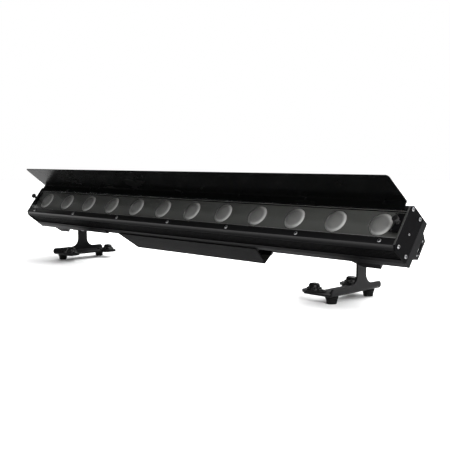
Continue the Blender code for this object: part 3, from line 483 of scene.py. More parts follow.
# %% Frosted lens and mask
LENS_RADIUS = 0.0199
LENS_BOWL = 0.0042                # how far the optic falls from the middle to the rim
PAINTED_RIM_GLOW = (0.0130, 0.0195)       # where the milk is painted paler as a painted glow at the rim, from the lens's middle


def frosted(name):
    finish = Finish(name, Specular_IOR_Level=0.6)
    reach = finish.vector("LENGTH", finish.place((1.0, 1.0, 0.0)), output="Value")
    cloud = finish.noise(60.0, 3.0)
    milk = finish.mix(cloud * 0.5, grey(0.120, -0.003), grey(0.104, -0.003))
    # the rim is painted paler: a painted glow of light at the lens's edge
    finish.feed("Base Color", finish.mix(reach.ramp(*PAINTED_RIM_GLOW), milk, grey(0.36, -0.01)))
    finish.feed("Roughness", 0.42 + cloud * 0.08)
    bowl = (reach / LENS_RADIUS) ** 4.0 * -LENS_BOWL
    rings = reach.maths("SINE", reach * 9000.0)
    finish.bump(bowl + finish.noise(3000.0) * 0.00002 + rings * 0.000002, 1.0, 1.0)
    return finish.material


def mask_paint(name):
    finish = Finish(name, Specular_IOR_Level=0.4)
    cloud = finish.noise((3.0, 20.0, 20.0), 3.0)
    finish.feed("Base Color", finish.mix(cloud, (0.041, 0.042, 0.039), (0.053, 0.054, 0.051)))
    finish.feed("Roughness", 0.50 + cloud * 0.12)
    finish.bump(finish.noise(1800.0), 0.10, 0.0002)
    return finish.material


print("lens and mask finishes ready")

# %% [markdown]
# Circuit boards are green lacquer over copper. Tracks show as thin raised lines, drawn here
# from the joints of a brick pattern. The display is dark glass over faint dots.

# %% Circuit board and display glass
def board_lacquer(name):
    finish = Finish(name, Specular_IOR_Level=0.5)
    tracks = finish.node("ShaderNodeTexBrick", {}, {"Vector": finish.place((260.0, 260.0, 260.0)),
                                                    "Scale": 1.0, "Mortar Size": 0.05}, "Fac")
    cloud = finish.noise(70.0)
    green = finish.mix(cloud, (0.012, 0.075, 0.035), (0.02, 0.11, 0.05))
    finish.feed("Base Color", finish.mix(tracks * 0.6, green, (0.06, 0.20, 0.09)))
    finish.feed("Roughness", 0.30 + cloud * 0.15)
    finish.bump(tracks, 0.25, 0.0001)
    return finish.material


def display_glass(name):
    finish = Finish(name, Specular_IOR_Level=0.6, Coat_Weight=0.6, Coat_Roughness=0.04)
    smear = finish.noise((90.0, 90.0, 160.0), 4.0, 0.6)
    dots = finish.cells(1100.0).ramp(0.2, 0.6)
    finish.feed("Base Color", finish.mix(dots, (0.004, 0.007, 0.010), (0.012, 0.016, 0.020)))
    finish.feed("Roughness", 0.06 + smear * 0.12)
    return finish.material


print("board and display finishes ready")

# %% [markdown]
# Each slot of the record gets its finish. Some nodes share a slot and still look unlike each
# other in the photograph, as the bezels and the fins do, so those have a finish of their own.

# %% A finish for every node
finishes = {
    "black_paint": powder_coat("black_paint", grey(0.0016, 0.0002), 0.44, 0.008),
    "black_anodised": anodised("black_anodised", grey(0.0026, 0.0002), 0.30, 0.05),
    "grey_anodised": anodised("grey_anodised", grey(0.0040, 0.0003), 0.42, 0.025),
    "black_plastic": moulded("black_plastic", grey(0.003), 0.34, 1300.0, 0.14, shine=0.18),
    "black_rubber": moulded("black_rubber", grey(0.0035), 0.62, 800.0, 0.35, 0.08, shine=0.08),
    "window_glass": window_glass("window_glass"),
    "mask_grey": mask_paint("mask_grey"),
    "frosted_lens": frosted("frosted_lens"),
    "board_green": board_lacquer("board_green"),
    "bright_steel": plated("bright_steel", grey(0.40, 0.01)),
    "display_black": display_glass("display_black"),
}
visor_black = (0.0011, 0.0012, 0.0012)
shared = {
    ("visor",): powder_coat("visor_paint", visor_black, 0.26, 0.022, wear=0.15, dusty=0.08),
    ("rear_panel",): powder_coat("panel_paint", grey(0.018, 0.001), 0.42, 0.35),
    ("bracket_left_plate", "bracket_right_plate"):
        powder_coat("bracket_paint", grey(0.005, 0.0003), 0.40, 0.07, top_light_dust=0.0),
    ("rail_left", "rail_right"): anodised("rail_black", grey(0.014, 0.001), 0.36, 0.35, metal=0.2),
    ("heatsink_body", "rail_clamp_left", "rail_clamp_right"):
        anodised("fin_black", grey(0.0022, 0.0002), 0.46, 0.012),
    ("bezel_lower", "bezel_upper"):
        anodised("bezel_black", grey(0.0025, 0.0002), 0.34, 0.03, top_light_dust=0.0, polish=bezel_polish),
}
own_finish = {name: finish for names, finish in shared.items() for name in names}
for row in frame["record"]["subparts"]:
    slots = nodes[row["node"]].data.materials
    slots.clear()
    slots.append(own_finish.get(row["node"], finishes[row["material_slot"]]))
print("finishes:", ", ".join(finishes))

# %% [markdown]
# A real sheet or casting has no knife edges: each edge is broken by a fraction of a
# millimetre, and that sliver catches the light and draws the shape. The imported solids
# stay as they are. A Weld modifier joins their loose corners and a Bevel modifier rounds
# the edges on top, which changes no vertex of the solid itself.

# %% Broken edges on the carried-over solids
def round_edges(thing, width):
    bevel = thing.modifiers.new("Edge", "BEVEL")
    bevel.width = width
    bevel.segments = 2
    bevel.limit_method = "ANGLE"
    bevel.angle_limit = radians(32.0)
    bevel.harden_normals = True


EDGE = 0.0005
own_edge = {"heatsink_body": 0.00025, "lens_mask": 0.0002, "front_glass": 0.0003,
            "led_board": 0.0002, "control_board": 0.0002, "display_window": 0.0002,
            "bracket_left_plate": 0.0006, "bracket_right_plate": 0.0006, "visor": 0.0004}
for name, node in nodes.items():
    weld = node.modifiers.new("Weld", "WELD")
    weld.merge_threshold = 0.00001
    round_edges(node, own_edge.get(name, EDGE))
print("edges broken on", len(nodes), "nodes")

# %% [markdown]
# Turned pieces (lenses, knobs, screws, feet) are a profile swept round an axis. This helper
# makes the rings one by one, so that a ring can be round, six-sided for a key socket, or
# fluted for grip. Several pieces can share one mesh, as a row of screws does. Flat pieces
# are an outline drawn out.

# %% Turned and flat meshes
def ring_radius(angle, radius, form):
    if form == "hex":
        return radius * cos(pi / 6) / cos(angle % (pi / 3) - pi / 6)
    if form:
        count, bite = form
        return radius - bite * max(0.0, cos(angle * count)) ** 2
    return radius


def turn(work, profile, steps, at=Matrix()):
    """Add a turned piece. A profile row is (radius, height) or (radius, height, form)."""
    rings = []
    for radius, level, *form in profile:
        if radius == 0.0:
            rings.append([work.verts.new(at @ Vector((0.0, 0.0, level)))])
            continue
        ring = []
        for step in range(steps):
            angle = 2 * pi * step / steps
            reach = ring_radius(angle, radius, form[0] if form else None)
            ring.append(work.verts.new(at @ Vector((reach * cos(angle), reach * sin(angle), level))))
        rings.append(ring)
    for first, second in zip(rings, rings[1:]):
        for step in range(steps):
            after = (step + 1) % steps
            corners = [first[step % len(first)], second[step % len(second)],
                       second[after % len(second)], first[after % len(first)]]
            unique = list(dict.fromkeys(corners))
            if len(unique) > 2:
                work.faces.new(unique)


def slab(work, outline, low, high, at=Matrix()):
    """Add a flat plate: an outline (a, b) drawn out from low to high along local Z."""
    bottom = [work.verts.new(at @ Vector((a, b, low))) for a, b in outline]
    top = [work.verts.new(at @ Vector((a, b, high))) for a, b in outline]
    work.faces.new(bottom[::-1])
    work.faces.new(top)
    join_rings(work, [bottom, top])


def join_rings(work, rings):
    """Add a band of faces between each ring of corners and the next."""
    for ring, after in zip(rings, rings[1:]):
        for k in range(len(ring)):
            m = (k + 1) % len(ring)
            work.faces.new((ring[k], ring[m], after[m], after[k]))


def rectangle(low_a, high_a, low_b, high_b):
    return [(low_a, low_b), (high_a, low_b), (high_a, high_b), (low_a, high_b)]


def plate_outline(a, b, half_a, half_b, radius, steps=5):
    """A rectangle with round corners, centred on (a, b)."""
    points = []
    for sign_a, sign_b, start in ((1, 1, 0.0), (-1, 1, 0.5), (-1, -1, 1.0), (1, -1, 1.5)):
        for k in range(steps + 1):
            angle = pi * (start + 0.5 * k / steps)
            points.append((a + sign_a * (half_a - radius) + radius * cos(angle),
                           b + sign_b * (half_b - radius) + radius * sin(angle)))
    return points


print("mesh helpers ready")

# %% [markdown]
# A mesh becomes a piece of the lamp when it rides on one of the bodies, so that it moves
# with its joint, and takes a slot's finish. A coat is a finish outside the slots.

# %% Pieces that ride on a body
def piece(name, work, slot, body, place=Matrix(), edge=0.0, stands_for=(), sharp=35.0, coat=None):
    """Finish a mesh as a named piece on a body, in place of the nodes that it stands for."""
    bmesh.ops.recalc_face_normals(work, faces=work.faces)
    mesh = bpy.data.meshes.new(name)
    work.to_mesh(mesh)
    work.free()
    mesh.shade_smooth()
    mesh.set_sharp_from_angle(angle=radians(sharp))
    mesh.materials.append(coat or finishes[slot])
    made = bpy.data.objects.new(name, mesh)
    made.matrix_world = place
    bpy.context.scene.collection.objects.link(made)
    if edge:
        round_edges(made, edge)
    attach(made, body)
    if stands_for:
        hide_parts(*stands_for)


def turned_piece(name, profile, steps, slot, body, place, at=Matrix(), **options):
    work = bmesh.new()
    turn(work, profile, steps, at)
    piece(name, work, slot, body, place, **options)


def centre_of(name):
    low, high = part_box(name)
    return (low + high) / 2


CLEAR = 0.00005                   # gap under a piece that lies on a solid
HALF_LENGTH = cad_box[1][0]
print("half the bar's length", round(HALF_LENGTH, 4))

# %% [markdown]
# The twelve lenses are the face of the light. Each is a low dome, a quarter of an ellipse
# from the crown to the rim: nearly flat in the middle and steep at the rim, where it catches
# the bright edge seen in the photograph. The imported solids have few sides, so a finer lens
# stands in for each.

# %% Lenses
LENS_CROWN_W = 0.0042             # depth of the crown behind the front face
LENS_DOME = 0.0036                # height of the crown above the rim
LENS_FOOT = -0.0125
DOME_ARCS = 16


def lens_profile():
    """A quarter ellipse from the crown to the rim, then the body down to its foot."""
    angles = [pi / 2 * k / DOME_ARCS for k in range(DOME_ARCS + 1)]
    dome = [(LENS_RADIUS * sin(angle), LENS_DOME * (cos(angle) - 1)) for angle in angles]
    return dome + [(LENS_RADIUS, -0.0052), (LENS_RADIUS - 0.0012, -0.0056),
                   (0.0122, LENS_FOOT), (0.0, LENS_FOOT)]


lens_names = sorted(name for name in nodes if name.startswith("lens_") and name != "lens_mask")
for name in lens_names:
    turned_piece(name + "_frosted", lens_profile(), 64, "frosted_lens", body_of_node[name],
                 on_bar(centre_of(name).x, LENS_CROWN_W, OPTIC_V) @ TO_FRONT,
                 stands_for=[name], sharp=60.0)
print(len(lens_names), "lenses")

# %% [markdown]
# Screws hold everything together and are the only bright points on a black light. One
# button head screw is a dome with a six-sided socket, and in bright steel its socket gets a
# black floor, painted shade for the socket's shadow, or it would shine like a solid dot. The
# same function, in other sizes and slots, serves the bezels, end plates, clips, covers, panel
# and brackets.

# %% Screws
def button_head(work, at, radius, rise):
    socket = radius * 0.62
    turn(work, [(0.0, -radius * 0.8), (socket * 0.9, -radius * 0.75, "hex"),
                (socket, rise * 0.94, "hex"), (socket * 1.14, rise), (radius * 0.84, rise * 0.84),
                (radius * 0.95, rise * 0.55), (radius, rise * 0.2), (radius, 0.0),
                (radius * 0.72, 0.0), (radius * 0.72, -radius), (0.0, -radius)], 24, at)


# a black disc low in the socket: painted shade for the socket's shadow
def painted_socket_shade(work, at, radius, rise):
    reach = radius * 0.59
    level = rise * 0.5
    turn(work, [(0.0, level), (reach, level, "hex"), (reach, 0.0, "hex"), (0.0, 0.0)], 24, at)


def screw_row(name, slot, body, places, size):
    """A row of screws as one piece; a size is the radius and the rise of a head."""
    parts = [(name, slot, button_head)]
    if slot == "bright_steel":
        # each bright steel socket gets its black disc of painted shade
        parts.append((name + "_painted_shade", "black_paint", painted_socket_shade))
    for part_name, part_slot, shape in parts:
        work = bmesh.new()
        for place in places:
            shape(work, place, *size)
        piece(part_name, work, part_slot, body, sharp=30.0)


def row_of(count, pitch):
    """Places along the bar, the same to the left and the right of its middle."""
    return [(k - (count - 1) / 2) * pitch for k in range(count)]


BEZEL_HEAD = (0.0033, 0.0015)
BEZEL_PITCH = 0.160
BEZEL_SCREW_V = -0.0287
VISOR_HEAD = (0.0024, 0.0010)
VISOR_PITCH = 0.154
VISOR_SCREW_V = 0.0375
VISOR_FACE = -0.0018              # outer face of the visor's flange
bezel_places = [on_bar(x, -CLEAR, BEZEL_SCREW_V) @ TO_FRONT for x in row_of(7, BEZEL_PITCH)]
screw_row("bezel_screws", "bright_steel", "bar", bezel_places, BEZEL_HEAD)
visor_places = [on_bar(x, VISOR_FACE - CLEAR, VISOR_SCREW_V) @ TO_FRONT
                for x in row_of(7, VISOR_PITCH)]
screw_row("visor_screws", "black_paint", "bar", visor_places, VISOR_HEAD)
print("bezel and visor screws")

# %% [markdown]
# The end plates have four large screws near their corners and a small one in the middle.
# Two tiny ones hold the rear end plate beside the slot of the rail.

# %% End plate screws
SIDES = ((-1, "left", TO_LEFT), (1, "right", TO_RIGHT))
END_SCREWS = (("end_screws_", (0.0031, 0.0015),
               ((0.0077, 0.0340), (0.0330, 0.03305), (0.0093, -0.0311), (0.0348, -0.0323))),
              ("end_screw_middle_", (0.0018, 0.0009), ((0.0224, -0.0012),)),
              ("rear_end_screws_", (0.0013, 0.0008), ((0.0605, 0.0116), (0.0605, -0.0144))))
for sign, side, outward in SIDES:
    for start, size, spots in END_SCREWS:
        places = [on_bar(sign * (HALF_LENGTH + CLEAR), w, v) @ outward for w, v in spots]
        screw_row(start + side, "bright_steel", "bar", places, size)
print("end plate screws")

# %% [markdown]
# The pane lies on two strips of grey foam tape, which show through the glass as pale lines
# along the bezels. At each end a ribbed seal covers the joint between the bezels and the end
# plate. Its ribs are half rounds set close together, and from afar they read as a row of dots.

# %% Glass tape and end seals
GLASS_BACK = 0.0034
TAPE_HALF_LENGTH = 0.5055
TAPE_LAYER = (-0.00024, -0.00002)      # just behind the pane
TAPES = {"lower": (-0.02195, -0.01985), "upper": (0.02685, 0.02750)}
pale_tape = moulded("pale_tape", grey(0.13, -0.003), 0.55, 900.0, 0.2)
for edge_name, (low_v, high_v) in TAPES.items():
    work = bmesh.new()
    slab(work, rectangle(-TAPE_HALF_LENGTH, TAPE_HALF_LENGTH, low_v, high_v), *TAPE_LAYER)
    piece("glass_tape_" + edge_name, work, "mask_grey", "bar",
          on_bar(0.0, GLASS_BACK, 0.0) @ TO_FRONT, coat=pale_tape)

SEAL_HALF_HEIGHT = 0.0340
SEAL_ENDS = (0.50610, 0.50885)    # its edges, from the middle of the bar
SEAL_THICKNESS = 0.00022
RIB_PITCH = 0.0021
RIB_RADIUS = 0.00062
RIB_RISE = 0.8                    # height by radius
RIB_FOOT = 0.0002                 # just under the strip's surface
FIRST_RIB = -0.0330
RIB_COUNT = 32


def end_seal(sign):
    """A flat strip with half-round ribs across it, drawn along v."""
    work = bmesh.new()
    near, far = sorted(sign * end for end in SEAL_ENDS)
    slab(work, rectangle(near, far, -SEAL_HALF_HEIGHT, SEAL_HALF_HEIGHT), CLEAR, SEAL_THICKNESS)
    for index in range(RIB_COUNT):
        middle = FIRST_RIB + index * RIB_PITCH
        arch = [(middle + RIB_RADIUS * cos(pi * k / 6),
                 RIB_FOOT + RIB_RADIUS * RIB_RISE * sin(pi * k / 6)) for k in range(7)]
        ends = [[work.verts.new((x, v, rise)) for v, rise in arch] for x in (near, far)]
        work.faces.new(ends[0])
        work.faces.new(ends[1][::-1])
        join_rings(work, ends)
    return work


seal_grey = moulded("seal_grey", grey(0.020, -0.0005), 0.5, 900.0, 0.2)
for sign, side, _ in SIDES:
    piece("end_seal_" + side, end_seal(sign), "mask_grey", "bar", on_bar(0.0, 0.0, 0.0) @ TO_FRONT,
          coat=seal_grey, sharp=30.0)
print(len(TAPES), "strips of tape and two end seals")

# %% [markdown]
# Two clips hold the ends of the pane, each pressed down by a thumb knob. The knob is turned
# plastic with a fluted head for cold fingers, on a slim stem with a collar. Its screw can be
# seen through the glass, so it is part of the knob and turns with it.

# %% Thumb knobs and clip screws
CLIP_FACE = -0.0020
KNOB_X = 0.5005
CLIP_SCREW_X = 0.4936
CLIP_SCREW_V = 0.0133             # above and below the knob
CLIP_HEAD = (0.0018, 0.0011)
KNOB_GAP = 0.0003
SHALLOW = (14, 0.0002)            # flutes round the head, and how deep they are
DEEP = (14, 0.0006)
knob_profile = [(0.0, 0.0119), (0.0019, 0.0119), (0.0023, 0.0125), (0.0041, 0.0125),
                (0.0049, 0.0121, SHALLOW), (0.0052, 0.0115, DEEP), (0.0052, 0.0074, DEEP),
                (0.0048, 0.0068, SHALLOW), (0.0040, 0.0065), (0.0029, 0.0063), (0.0027, 0.0050),
                (0.0027, 0.0022), (0.0036, 0.0012), (0.0036, 0.0), (0.0020, 0.0),
                (0.0020, -0.0098), (0.0014, -0.0106), (0.0, -0.0106)]
for sign, side, _ in SIDES:
    knob = "thumb_knob_" + side
    turned_piece("thumb_knob_turned_" + side, knob_profile, 84, "black_plastic", body_of_node[knob],
                 on_bar(sign * KNOB_X, CLIP_FACE - KNOB_GAP, OPTIC_V) @ TO_FRONT,
                 stands_for=[knob], sharp=40.0)
    places = [on_bar(sign * CLIP_SCREW_X, CLIP_FACE - CLEAR, OPTIC_V + v) @ TO_FRONT
              for v in (-CLIP_SCREW_V, CLIP_SCREW_V)]
    screw_row("clip_screws_" + side, "black_plastic", "bar", places, CLIP_HEAD)
print("thumb knobs and clip screws")

# %% [markdown]
# The quick locks on the brackets hook the bar into a truss: a domed knob over a lobed skirt,
# which a quarter turn locks. Their black plastic is glossy, and a steel rivet sits in the
# crown. A small pointer on the skirt shows which way a lock is turned.

# %% Quick locks
LOCK_BASE = 0.0182                # underside of a lock above the floor
RIVET_BASE = 0.0110               # above the lock's underside
LOBES = (6, 0.0019)
POINTER_REACH = 0.0116            # lock's middle to the middle of its pointer
lock_profile = [(0.0, 0.0109), (0.0022, 0.0109), (0.0025, 0.0115), (0.0046, 0.0115),
                (0.0068, 0.0110), (0.0083, 0.0099), (0.0091, 0.0083), (0.0095, 0.0062),
                (0.0097, 0.0052), (0.0113, 0.0048, LOBES), (0.0122, 0.0042, LOBES),
                (0.0125, 0.0036, LOBES), (0.0125, 0.0022, LOBES), (0.0128, 0.0017),
                (0.0132, 0.0015), (0.0136, 0.0010), (0.0136, 0.0), (0.0036, 0.0),
                (0.0036, -0.0066), (0.0030, -0.0075), (0.0, -0.0075)]
rivet_profile = [(0.0, 0.0014), (0.0010, 0.0013), (0.0017, 0.0009), (0.0020, 0.0003),
                 (0.0020, 0.0), (0.0, 0.0)]
glossy_plastic = moulded("glossy_plastic", grey(0.0015), 0.16, 1300.0, 0.06, shine=0.4)
pointer = plate_outline(0.0, -POINTER_REACH, 0.0005, 0.0013, 0.0004, 3)
lock_places = {}
for name in sorted(nodes):
    if not name.startswith("quick_lock_"):
        continue
    centre = centre_of(name)
    place = Vector((centre.x, centre.y, LOCK_BASE))
    lock_places[name] = place
    work = bmesh.new()
    turn(work, lock_profile, 96)
    slab(work, pointer, 0.0044, 0.0056)
    piece(name + "_knob", work, "black_plastic", body_of_node[name], Matrix.Translation(place),
          stands_for=[name], sharp=40.0, coat=glossy_plastic)
    turned_piece(name + "_rivet", rivet_profile, 24, "bright_steel", body_of_node[name],
                 Matrix.Translation(place + Vector((0.0, 0.0, RIVET_BASE))))
print(len(lock_places), "quick locks")

# %% [markdown]
# The feet are moulded rubber: a wide collar under the flange, a tapered body with two
# grooves, and a soft round edge where it meets the floor. A bolt passes down through the
# flange into each, and its domed black head sits on the flange beside the upright.

# %% Feet and their bolts
FLANGE_TOP = 0.0163
OVAL_TOP = 0.0179                 # top of the oval plate under a quick lock
OVAL_SCREW_REACH = 0.0172         # lock's middle to the screw at each end of its oval
LARGE_HEAD = (0.0042, 0.0026)
OVAL_HEAD = (0.0021, 0.0012)
foot_profile = [(0.0, 0.0), (0.0045, 0.0), (0.0048, 0.0010), (0.0056, 0.0010), (0.0060, 0.0),
                (0.0072, 0.0), (0.0079, 0.0004), (0.0082, 0.0012), (0.0086, 0.0034),
                (0.0082, 0.0037), (0.0082, 0.0042), (0.0088, 0.0045), (0.0092, 0.0066),
                (0.0088, 0.0069), (0.0088, 0.0074), (0.0095, 0.0078), (0.0102, 0.0092),
                (0.0105, 0.0098), (0.0105, 0.0117), (0.0101, 0.0122), (0.0, 0.0122)]
for side in ("left", "right"):
    body = body_of_node["bracket_" + side + "_plate"]
    bolts = []
    for end in ("front", "back"):
        name = "foot_" + side + "_" + end
        centre = centre_of(name)
        turned_piece(name + "_moulded", foot_profile, 48, "black_rubber", body,
                     Matrix.Translation((centre.x, centre.y, 0.0)), stands_for=[name], sharp=50.0)
        bolts.append(Matrix.Translation((centre.x, centre.y, FLANGE_TOP + CLEAR)))
    screw_row("foot_bolts_" + side, "black_plastic", body, bolts, LARGE_HEAD)
    oval_screws = [Matrix.Translation((place.x + reach, place.y, OVAL_TOP + CLEAR))
                   for name, place in lock_places.items() if name.startswith("quick_lock_" + side)
                   for reach in (-OVAL_SCREW_REACH, OVAL_SCREW_REACH)]
    screw_row("lock_plate_screws_" + side, "black_plastic", body, oval_screws, OVAL_HEAD)
print("four feet, their bolts and the lock plates' screws")

# %% [markdown]
# Each bracket turns on a steel bolt. A hexagon head has its corners cut by a cone, which
# leaves the curved edges that make it look forged. Here the cone is a ring that starts
# round and grows into the hexagon.

# %% Pivot bolts and clamp screws
BOLT_LENGTH = 0.0280
CLAMP_BACK = 0.0820
CLAMP_SCREW_X = 0.440
CLAMP_SCREWS_V = (-0.0125, 0.0045)
bolt_profile = [(0.0, 0.0112), (0.0068, 0.0112), (0.0076, 0.0108, "hex"),
                (0.0084, 0.0103, "hex"), (0.0084, 0.0060, "hex"), (0.0080, 0.0054),
                (0.0101, 0.0053), (0.0105, 0.0050), (0.0105, 0.0041), (0.0045, 0.0041),
                (0.0045, -0.0268), (0.0037, -BOLT_LENGTH), (0.0, -BOLT_LENGTH)]
for sign, side, inward in ((-1, "left", TO_RIGHT), (1, "right", TO_LEFT)):
    bolt = "pivot_bolt_" + side
    low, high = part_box(bolt)
    upright = high.x - BOLT_LENGTH if sign > 0 else low.x + BOLT_LENGTH
    axis = Matrix.Translation((upright, centre_of(bolt).y, centre_of(bolt).z))
    turned_piece("pivot_bolt_forged_" + side, bolt_profile, 48, "bright_steel", body_of_node[bolt],
                 axis @ inward, stands_for=[bolt], sharp=30.0)
    places = [on_bar(sign * CLAMP_SCREW_X, CLAMP_BACK + CLEAR, v) @ TO_BACK for v in CLAMP_SCREWS_V]
    screw_row("clamp_screws_" + side, "bright_steel", body_of_node["rail_clamp_" + side], places,
              LARGE_HEAD)
print("pivot bolts and clamp screws")

# %% [markdown]
# The control panel is on the back, with four rubber buttons. Each button is a domed cap on a
# flange, and a generic sign stands up from its crown: bars, an arrow up or down, or a dot.

# %% Buttons
PANEL_FACE = 0.1119
SIGN_LOW = 0.00125
SIGN_HIGH = 0.0018
cap_profile = [(0.0, 0.0015), (0.0014, 0.00145), (0.0024, 0.0013), (0.0031, 0.0009),
               (0.0035, 0.0003), (0.0035, -0.0039), (0.0045, -0.0039), (0.0045, -0.0053),
               (0.0, -0.0053)]


def arrow(tip):
    return [(-0.0012, -tip * 0.7), (0.0012, -tip * 0.7), (0.0, tip)]


dot = [(0.0010 * cos(2 * pi * k / 20), 0.0010 * sin(2 * pi * k / 20)) for k in range(20)]
bars = [plate_outline(0.0, v, 0.0011, 0.00022, 0.0002, 2) for v in (-0.0008, 0.0, 0.0008)]
BUTTON_SIGNS = {"button_menu": bars, "button_up": [arrow(-0.0012)], "button_down": [arrow(0.0012)],
                "button_enter": [dot]}
white_print = moulded("white_print", grey(0.55, -0.01), 0.5, 1500.0, 0.05)
for name, outlines in BUTTON_SIGNS.items():
    place = on_bar(centre_of(name).x, PANEL_FACE, 0.0) @ TO_BACK
    turned_piece(name + "_cap", cap_profile, 40, "black_rubber", body_of_node[name], place,
                 stands_for=[name], sharp=50.0)
    work = bmesh.new()
    for outline in outlines:
        slab(work, outline, SIGN_LOW, SIGN_HIGH)
    piece(name + "_sign", work, "mask_grey", body_of_node[name], place, coat=white_print)
print(len(BUTTON_SIGNS), "buttons")

# %% [markdown]
# Beside the buttons the panel has a raised frame round the display, three small status
# lights, a breather plug that lets the housing equalise its pressure, and an earth screw.

# %% Panel fittings
PANEL = on_bar(0.0, PANEL_FACE, 0.0) @ TO_BACK
PANEL_HEAD = (0.0022, 0.0013)
PANEL_CORNER = (0.177, 0.0108)    # screws of the back plate
CONTROL_CORNER = (0.066, 0.0122)  # screws round the display and buttons
panel_spots = [(right * x, up * v) for x, v in (PANEL_CORNER, CONTROL_CORNER)
               for right in (-1, 1) for up in (-1, 1)]
screw_row("panel_screws", "bright_steel", "bar",
          [on_bar(x, PANEL_FACE + CLEAR, v) @ TO_BACK for x, v in panel_spots], PANEL_HEAD)

DISPLAY_X = -0.024
work = bmesh.new()
outer = plate_outline(DISPLAY_X, 0.0, 0.0240, 0.0120, 0.0022)
inner = plate_outline(DISPLAY_X, 0.0, 0.0200, 0.0080, 0.0008)
rings = [[work.verts.new((a, -b, rise)) for a, b in loop]
         for loop, rise in ((outer, CLEAR), (outer, 0.0008), (inner, 0.0005), (inner, CLEAR))]
join_rings(work, rings + rings[:1])
piece("display_frame", work, "black_plastic", "bar", PANEL, edge=0.0002)

STATUS_X = -0.0555
STATUS_PITCH = 0.0055
light_profile = [(0.0, 0.0010), (0.0006, 0.0009), (0.0011, 0.0005), (0.0012, CLEAR), (0.0, CLEAR)]
work = bmesh.new()
for v in row_of(3, STATUS_PITCH):
    turn(work, light_profile, 20, Matrix.Translation((STATUS_X, v, 0.0)))
piece("status_lights", work, "frosted_lens", "bar", PANEL)

FITTING_X = 0.122                 # breather plug on the right, earth screw on the left
plug_profile = [(0.0, 0.0052), (0.0034, 0.0052), (0.0040, 0.0046), (0.0040, 0.0040),
                (0.0058, 0.0038, "hex"), (0.0064, 0.0032, "hex"), (0.0064, 0.0008, "hex"),
                (0.0070, 0.0006), (0.0070, CLEAR), (0.0, CLEAR)]
earth_profile = [(0.0, 0.0036), (0.0030, 0.0036, "hex"), (0.0034, 0.0032, "hex"),
                 (0.0034, 0.0010, "hex"), (0.0052, 0.0009), (0.0054, 0.0006), (0.0054, CLEAR),
                 (0.0, CLEAR)]
turned_piece("breather_plug", plug_profile, 48, "black_plastic", "bar", PANEL,
             Matrix.Translation((FITTING_X, 0.0, 0.0)), sharp=30.0)
turned_piece("earth_screw", earth_profile, 36, "bright_steel", "bar", PANEL,
             Matrix.Translation((-FITTING_X, 0.0, 0.0)), sharp=30.0)
print("display frame, status lights, breather plug and earth screw")

# %% [markdown]
# The four sockets sit in the open ends of the box. Power goes through a twist-lock socket,
# whose well has a keyed core. Data goes through a round five-pole one: pins in the inlet, an
# insulated insert in the outlet. Low collars mark the holes of the insert.

# %% Inserts of the data sockets
POLE_CIRCLE = 0.0042
POLE_STEP = 0.34 * pi
POLE_RADIUS = 0.0009
PIN_TIP = 0.0098
INSERT_RADIUS = 0.0082
INSERT_TOP = 0.0112
pole_angles = [pi / 2 + POLE_STEP * k for k in (-2, -1, 0, 1, 2)]
poles = [(POLE_CIRCLE * cos(angle), POLE_CIRCLE * sin(angle)) for angle in pole_angles]
pin_profile = [(0.0, PIN_TIP), (POLE_RADIUS * 0.5, PIN_TIP),
               (POLE_RADIUS, PIN_TIP - POLE_RADIUS * 0.6), (POLE_RADIUS, CLEAR), (0.0, CLEAR)]
insert_profile = [(0.0, INSERT_TOP), (INSERT_RADIUS - 0.0005, INSERT_TOP),
                  (INSERT_RADIUS, INSERT_TOP - 0.0005), (INSERT_RADIUS, CLEAR), (0.0, CLEAR)]
collar_profile = [(0.0, 0.00002), (POLE_RADIUS, 0.00002), (POLE_RADIUS * 1.15, 0.0003),
                  (POLE_RADIUS * 1.45, 0.0003), (POLE_RADIUS * 1.5, -0.0002), (0.0, -0.0002)]


def data_pins():
    work = bmesh.new()
    for a, b in poles:
        turn(work, pin_profile, 16, Matrix.Translation((a, b, 0.0)))
    return work


def data_insert():
    """A round insert, with a low collar round each hole."""
    work = bmesh.new()
    turn(work, insert_profile, 40)
    for a, b in poles:
        turn(work, collar_profile, 16, Matrix.Translation((a, b, INSERT_TOP)))
    return work


print(len(poles), "poles in a data socket")

# %% [markdown]
# The inlet and the outlet for power look alike at this distance. Three ribs on the core stop
# a wrong plug, and three short contacts lie on its face. Both sockets of an end are placed
# from the bottom of their wells, with the axis pointing out of the box.

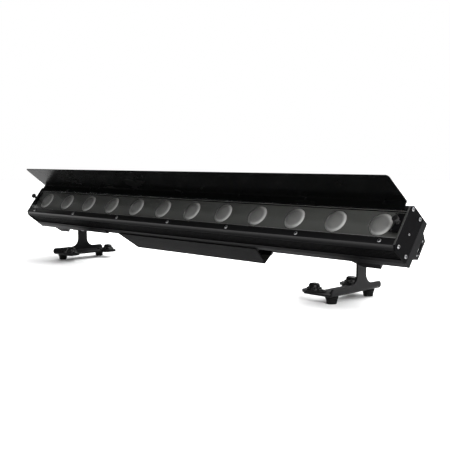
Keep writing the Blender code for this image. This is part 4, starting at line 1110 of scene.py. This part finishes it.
# %% Sockets in the box's ends
LIP_X = 0.16768
WELL = 0.014
SOCKET_W = 0.079
SOCKET_V = 0.0165                 # power above the middle line, data below it
CORE_TOP = 0.0092
FLANGE_X = LIP_X - 0.0022
SOCKET_HEAD = (0.0016, 0.0009)
SOCKET_SCREW = 0.0104             # from the socket's axis to its screws, each way
KEY_ANGLES = (0.5, 2.6, 4.7)
KEY_RIB = rectangle(0.0050, 0.0068, -0.0008, 0.0008)
CONTACT = plate_outline(0.0024, 0.0, 0.0004, 0.0012, 0.0003, 2)
core_profile = [(0.0, CORE_TOP), (0.0046, CORE_TOP), (0.0052, 0.0086), (0.0052, CLEAR), (0.0, CLEAR)]
ENDS = ((1, "inlet", TO_RIGHT, "data_pins", "bright_steel", data_pins),
        (-1, "outlet", TO_LEFT, "data_insert", "black_plastic", data_insert))
for sign, flow, outward, data_name, data_slot, data_shape in ENDS:
    floor_x = sign * (LIP_X - WELL)
    power_place = on_bar(floor_x, SOCKET_W, SOCKET_V) @ outward
    piece(data_name, data_shape(), data_slot, "bar", on_bar(floor_x, SOCKET_W, -SOCKET_V) @ outward)
    work = bmesh.new()
    turn(work, core_profile, 40)
    for angle in KEY_ANGLES:
        slab(work, KEY_RIB, CLEAR, 0.0080, Matrix.Rotation(angle, 4, "Z"))
    piece("power_core_" + flow, work, "black_plastic", "bar", power_place, edge=0.0002)
    work = bmesh.new()
    for k in range(3):
        at = Matrix.Translation((0.0, 0.0, CORE_TOP + CLEAR)) @ Matrix.Rotation(2 * pi * k / 3, 4, "Z")
        slab(work, CONTACT, 0.0, 0.0006, at)
    piece("power_contacts_" + flow, work, "bright_steel", "bar", power_place)
    places = [on_bar(sign * (FLANGE_X + CLEAR), SOCKET_W + shift, middle + shift) @ outward
              for middle in (-SOCKET_V, SOCKET_V) for shift in (SOCKET_SCREW, -SOCKET_SCREW)]
    screw_row("socket_screws_" + flow, "bright_steel", "bar", places, SOCKET_HEAD)
print("pins, inserts, power cores and contacts")

# %% [markdown]
# The rear covers and the box are held by more of the same screws. The covers have theirs
# along the upper edge only, where the clamps that slide on the rails don't pass.

# %% Cover and box screws
COVER_BACK = 0.0553
COVER_SCREW_V = 0.0330
BOX_TOP = 0.03975
BOX_SCREW_W = 0.0600
COVER_HEAD = (0.0024, 0.0013)
COVER_SCREWS_X = [0.254 + 0.080 * k for k in range(4)]
BOX_PITCH = 0.088
cover_places = [on_bar(sign * x, COVER_BACK + CLEAR, COVER_SCREW_V) @ TO_BACK
                for sign in (-1, 1) for x in COVER_SCREWS_X]
screw_row("cover_screws", "bright_steel", "bar", cover_places, COVER_HEAD)
box_places = [on_bar(x, BOX_SCREW_W, BOX_TOP + CLEAR) for x in row_of(5, BOX_PITCH)]
screw_row("box_screws", "bright_steel", "bar", box_places, COVER_HEAD)
print("cover and box screws")

# %% [markdown]
# Last comes the box that the solids had when they were loaded. The second may stand only a
# little proud of the first.

print("box of the solids", [tuple(round(c, 4) for c in corner) for corner in cad_box])
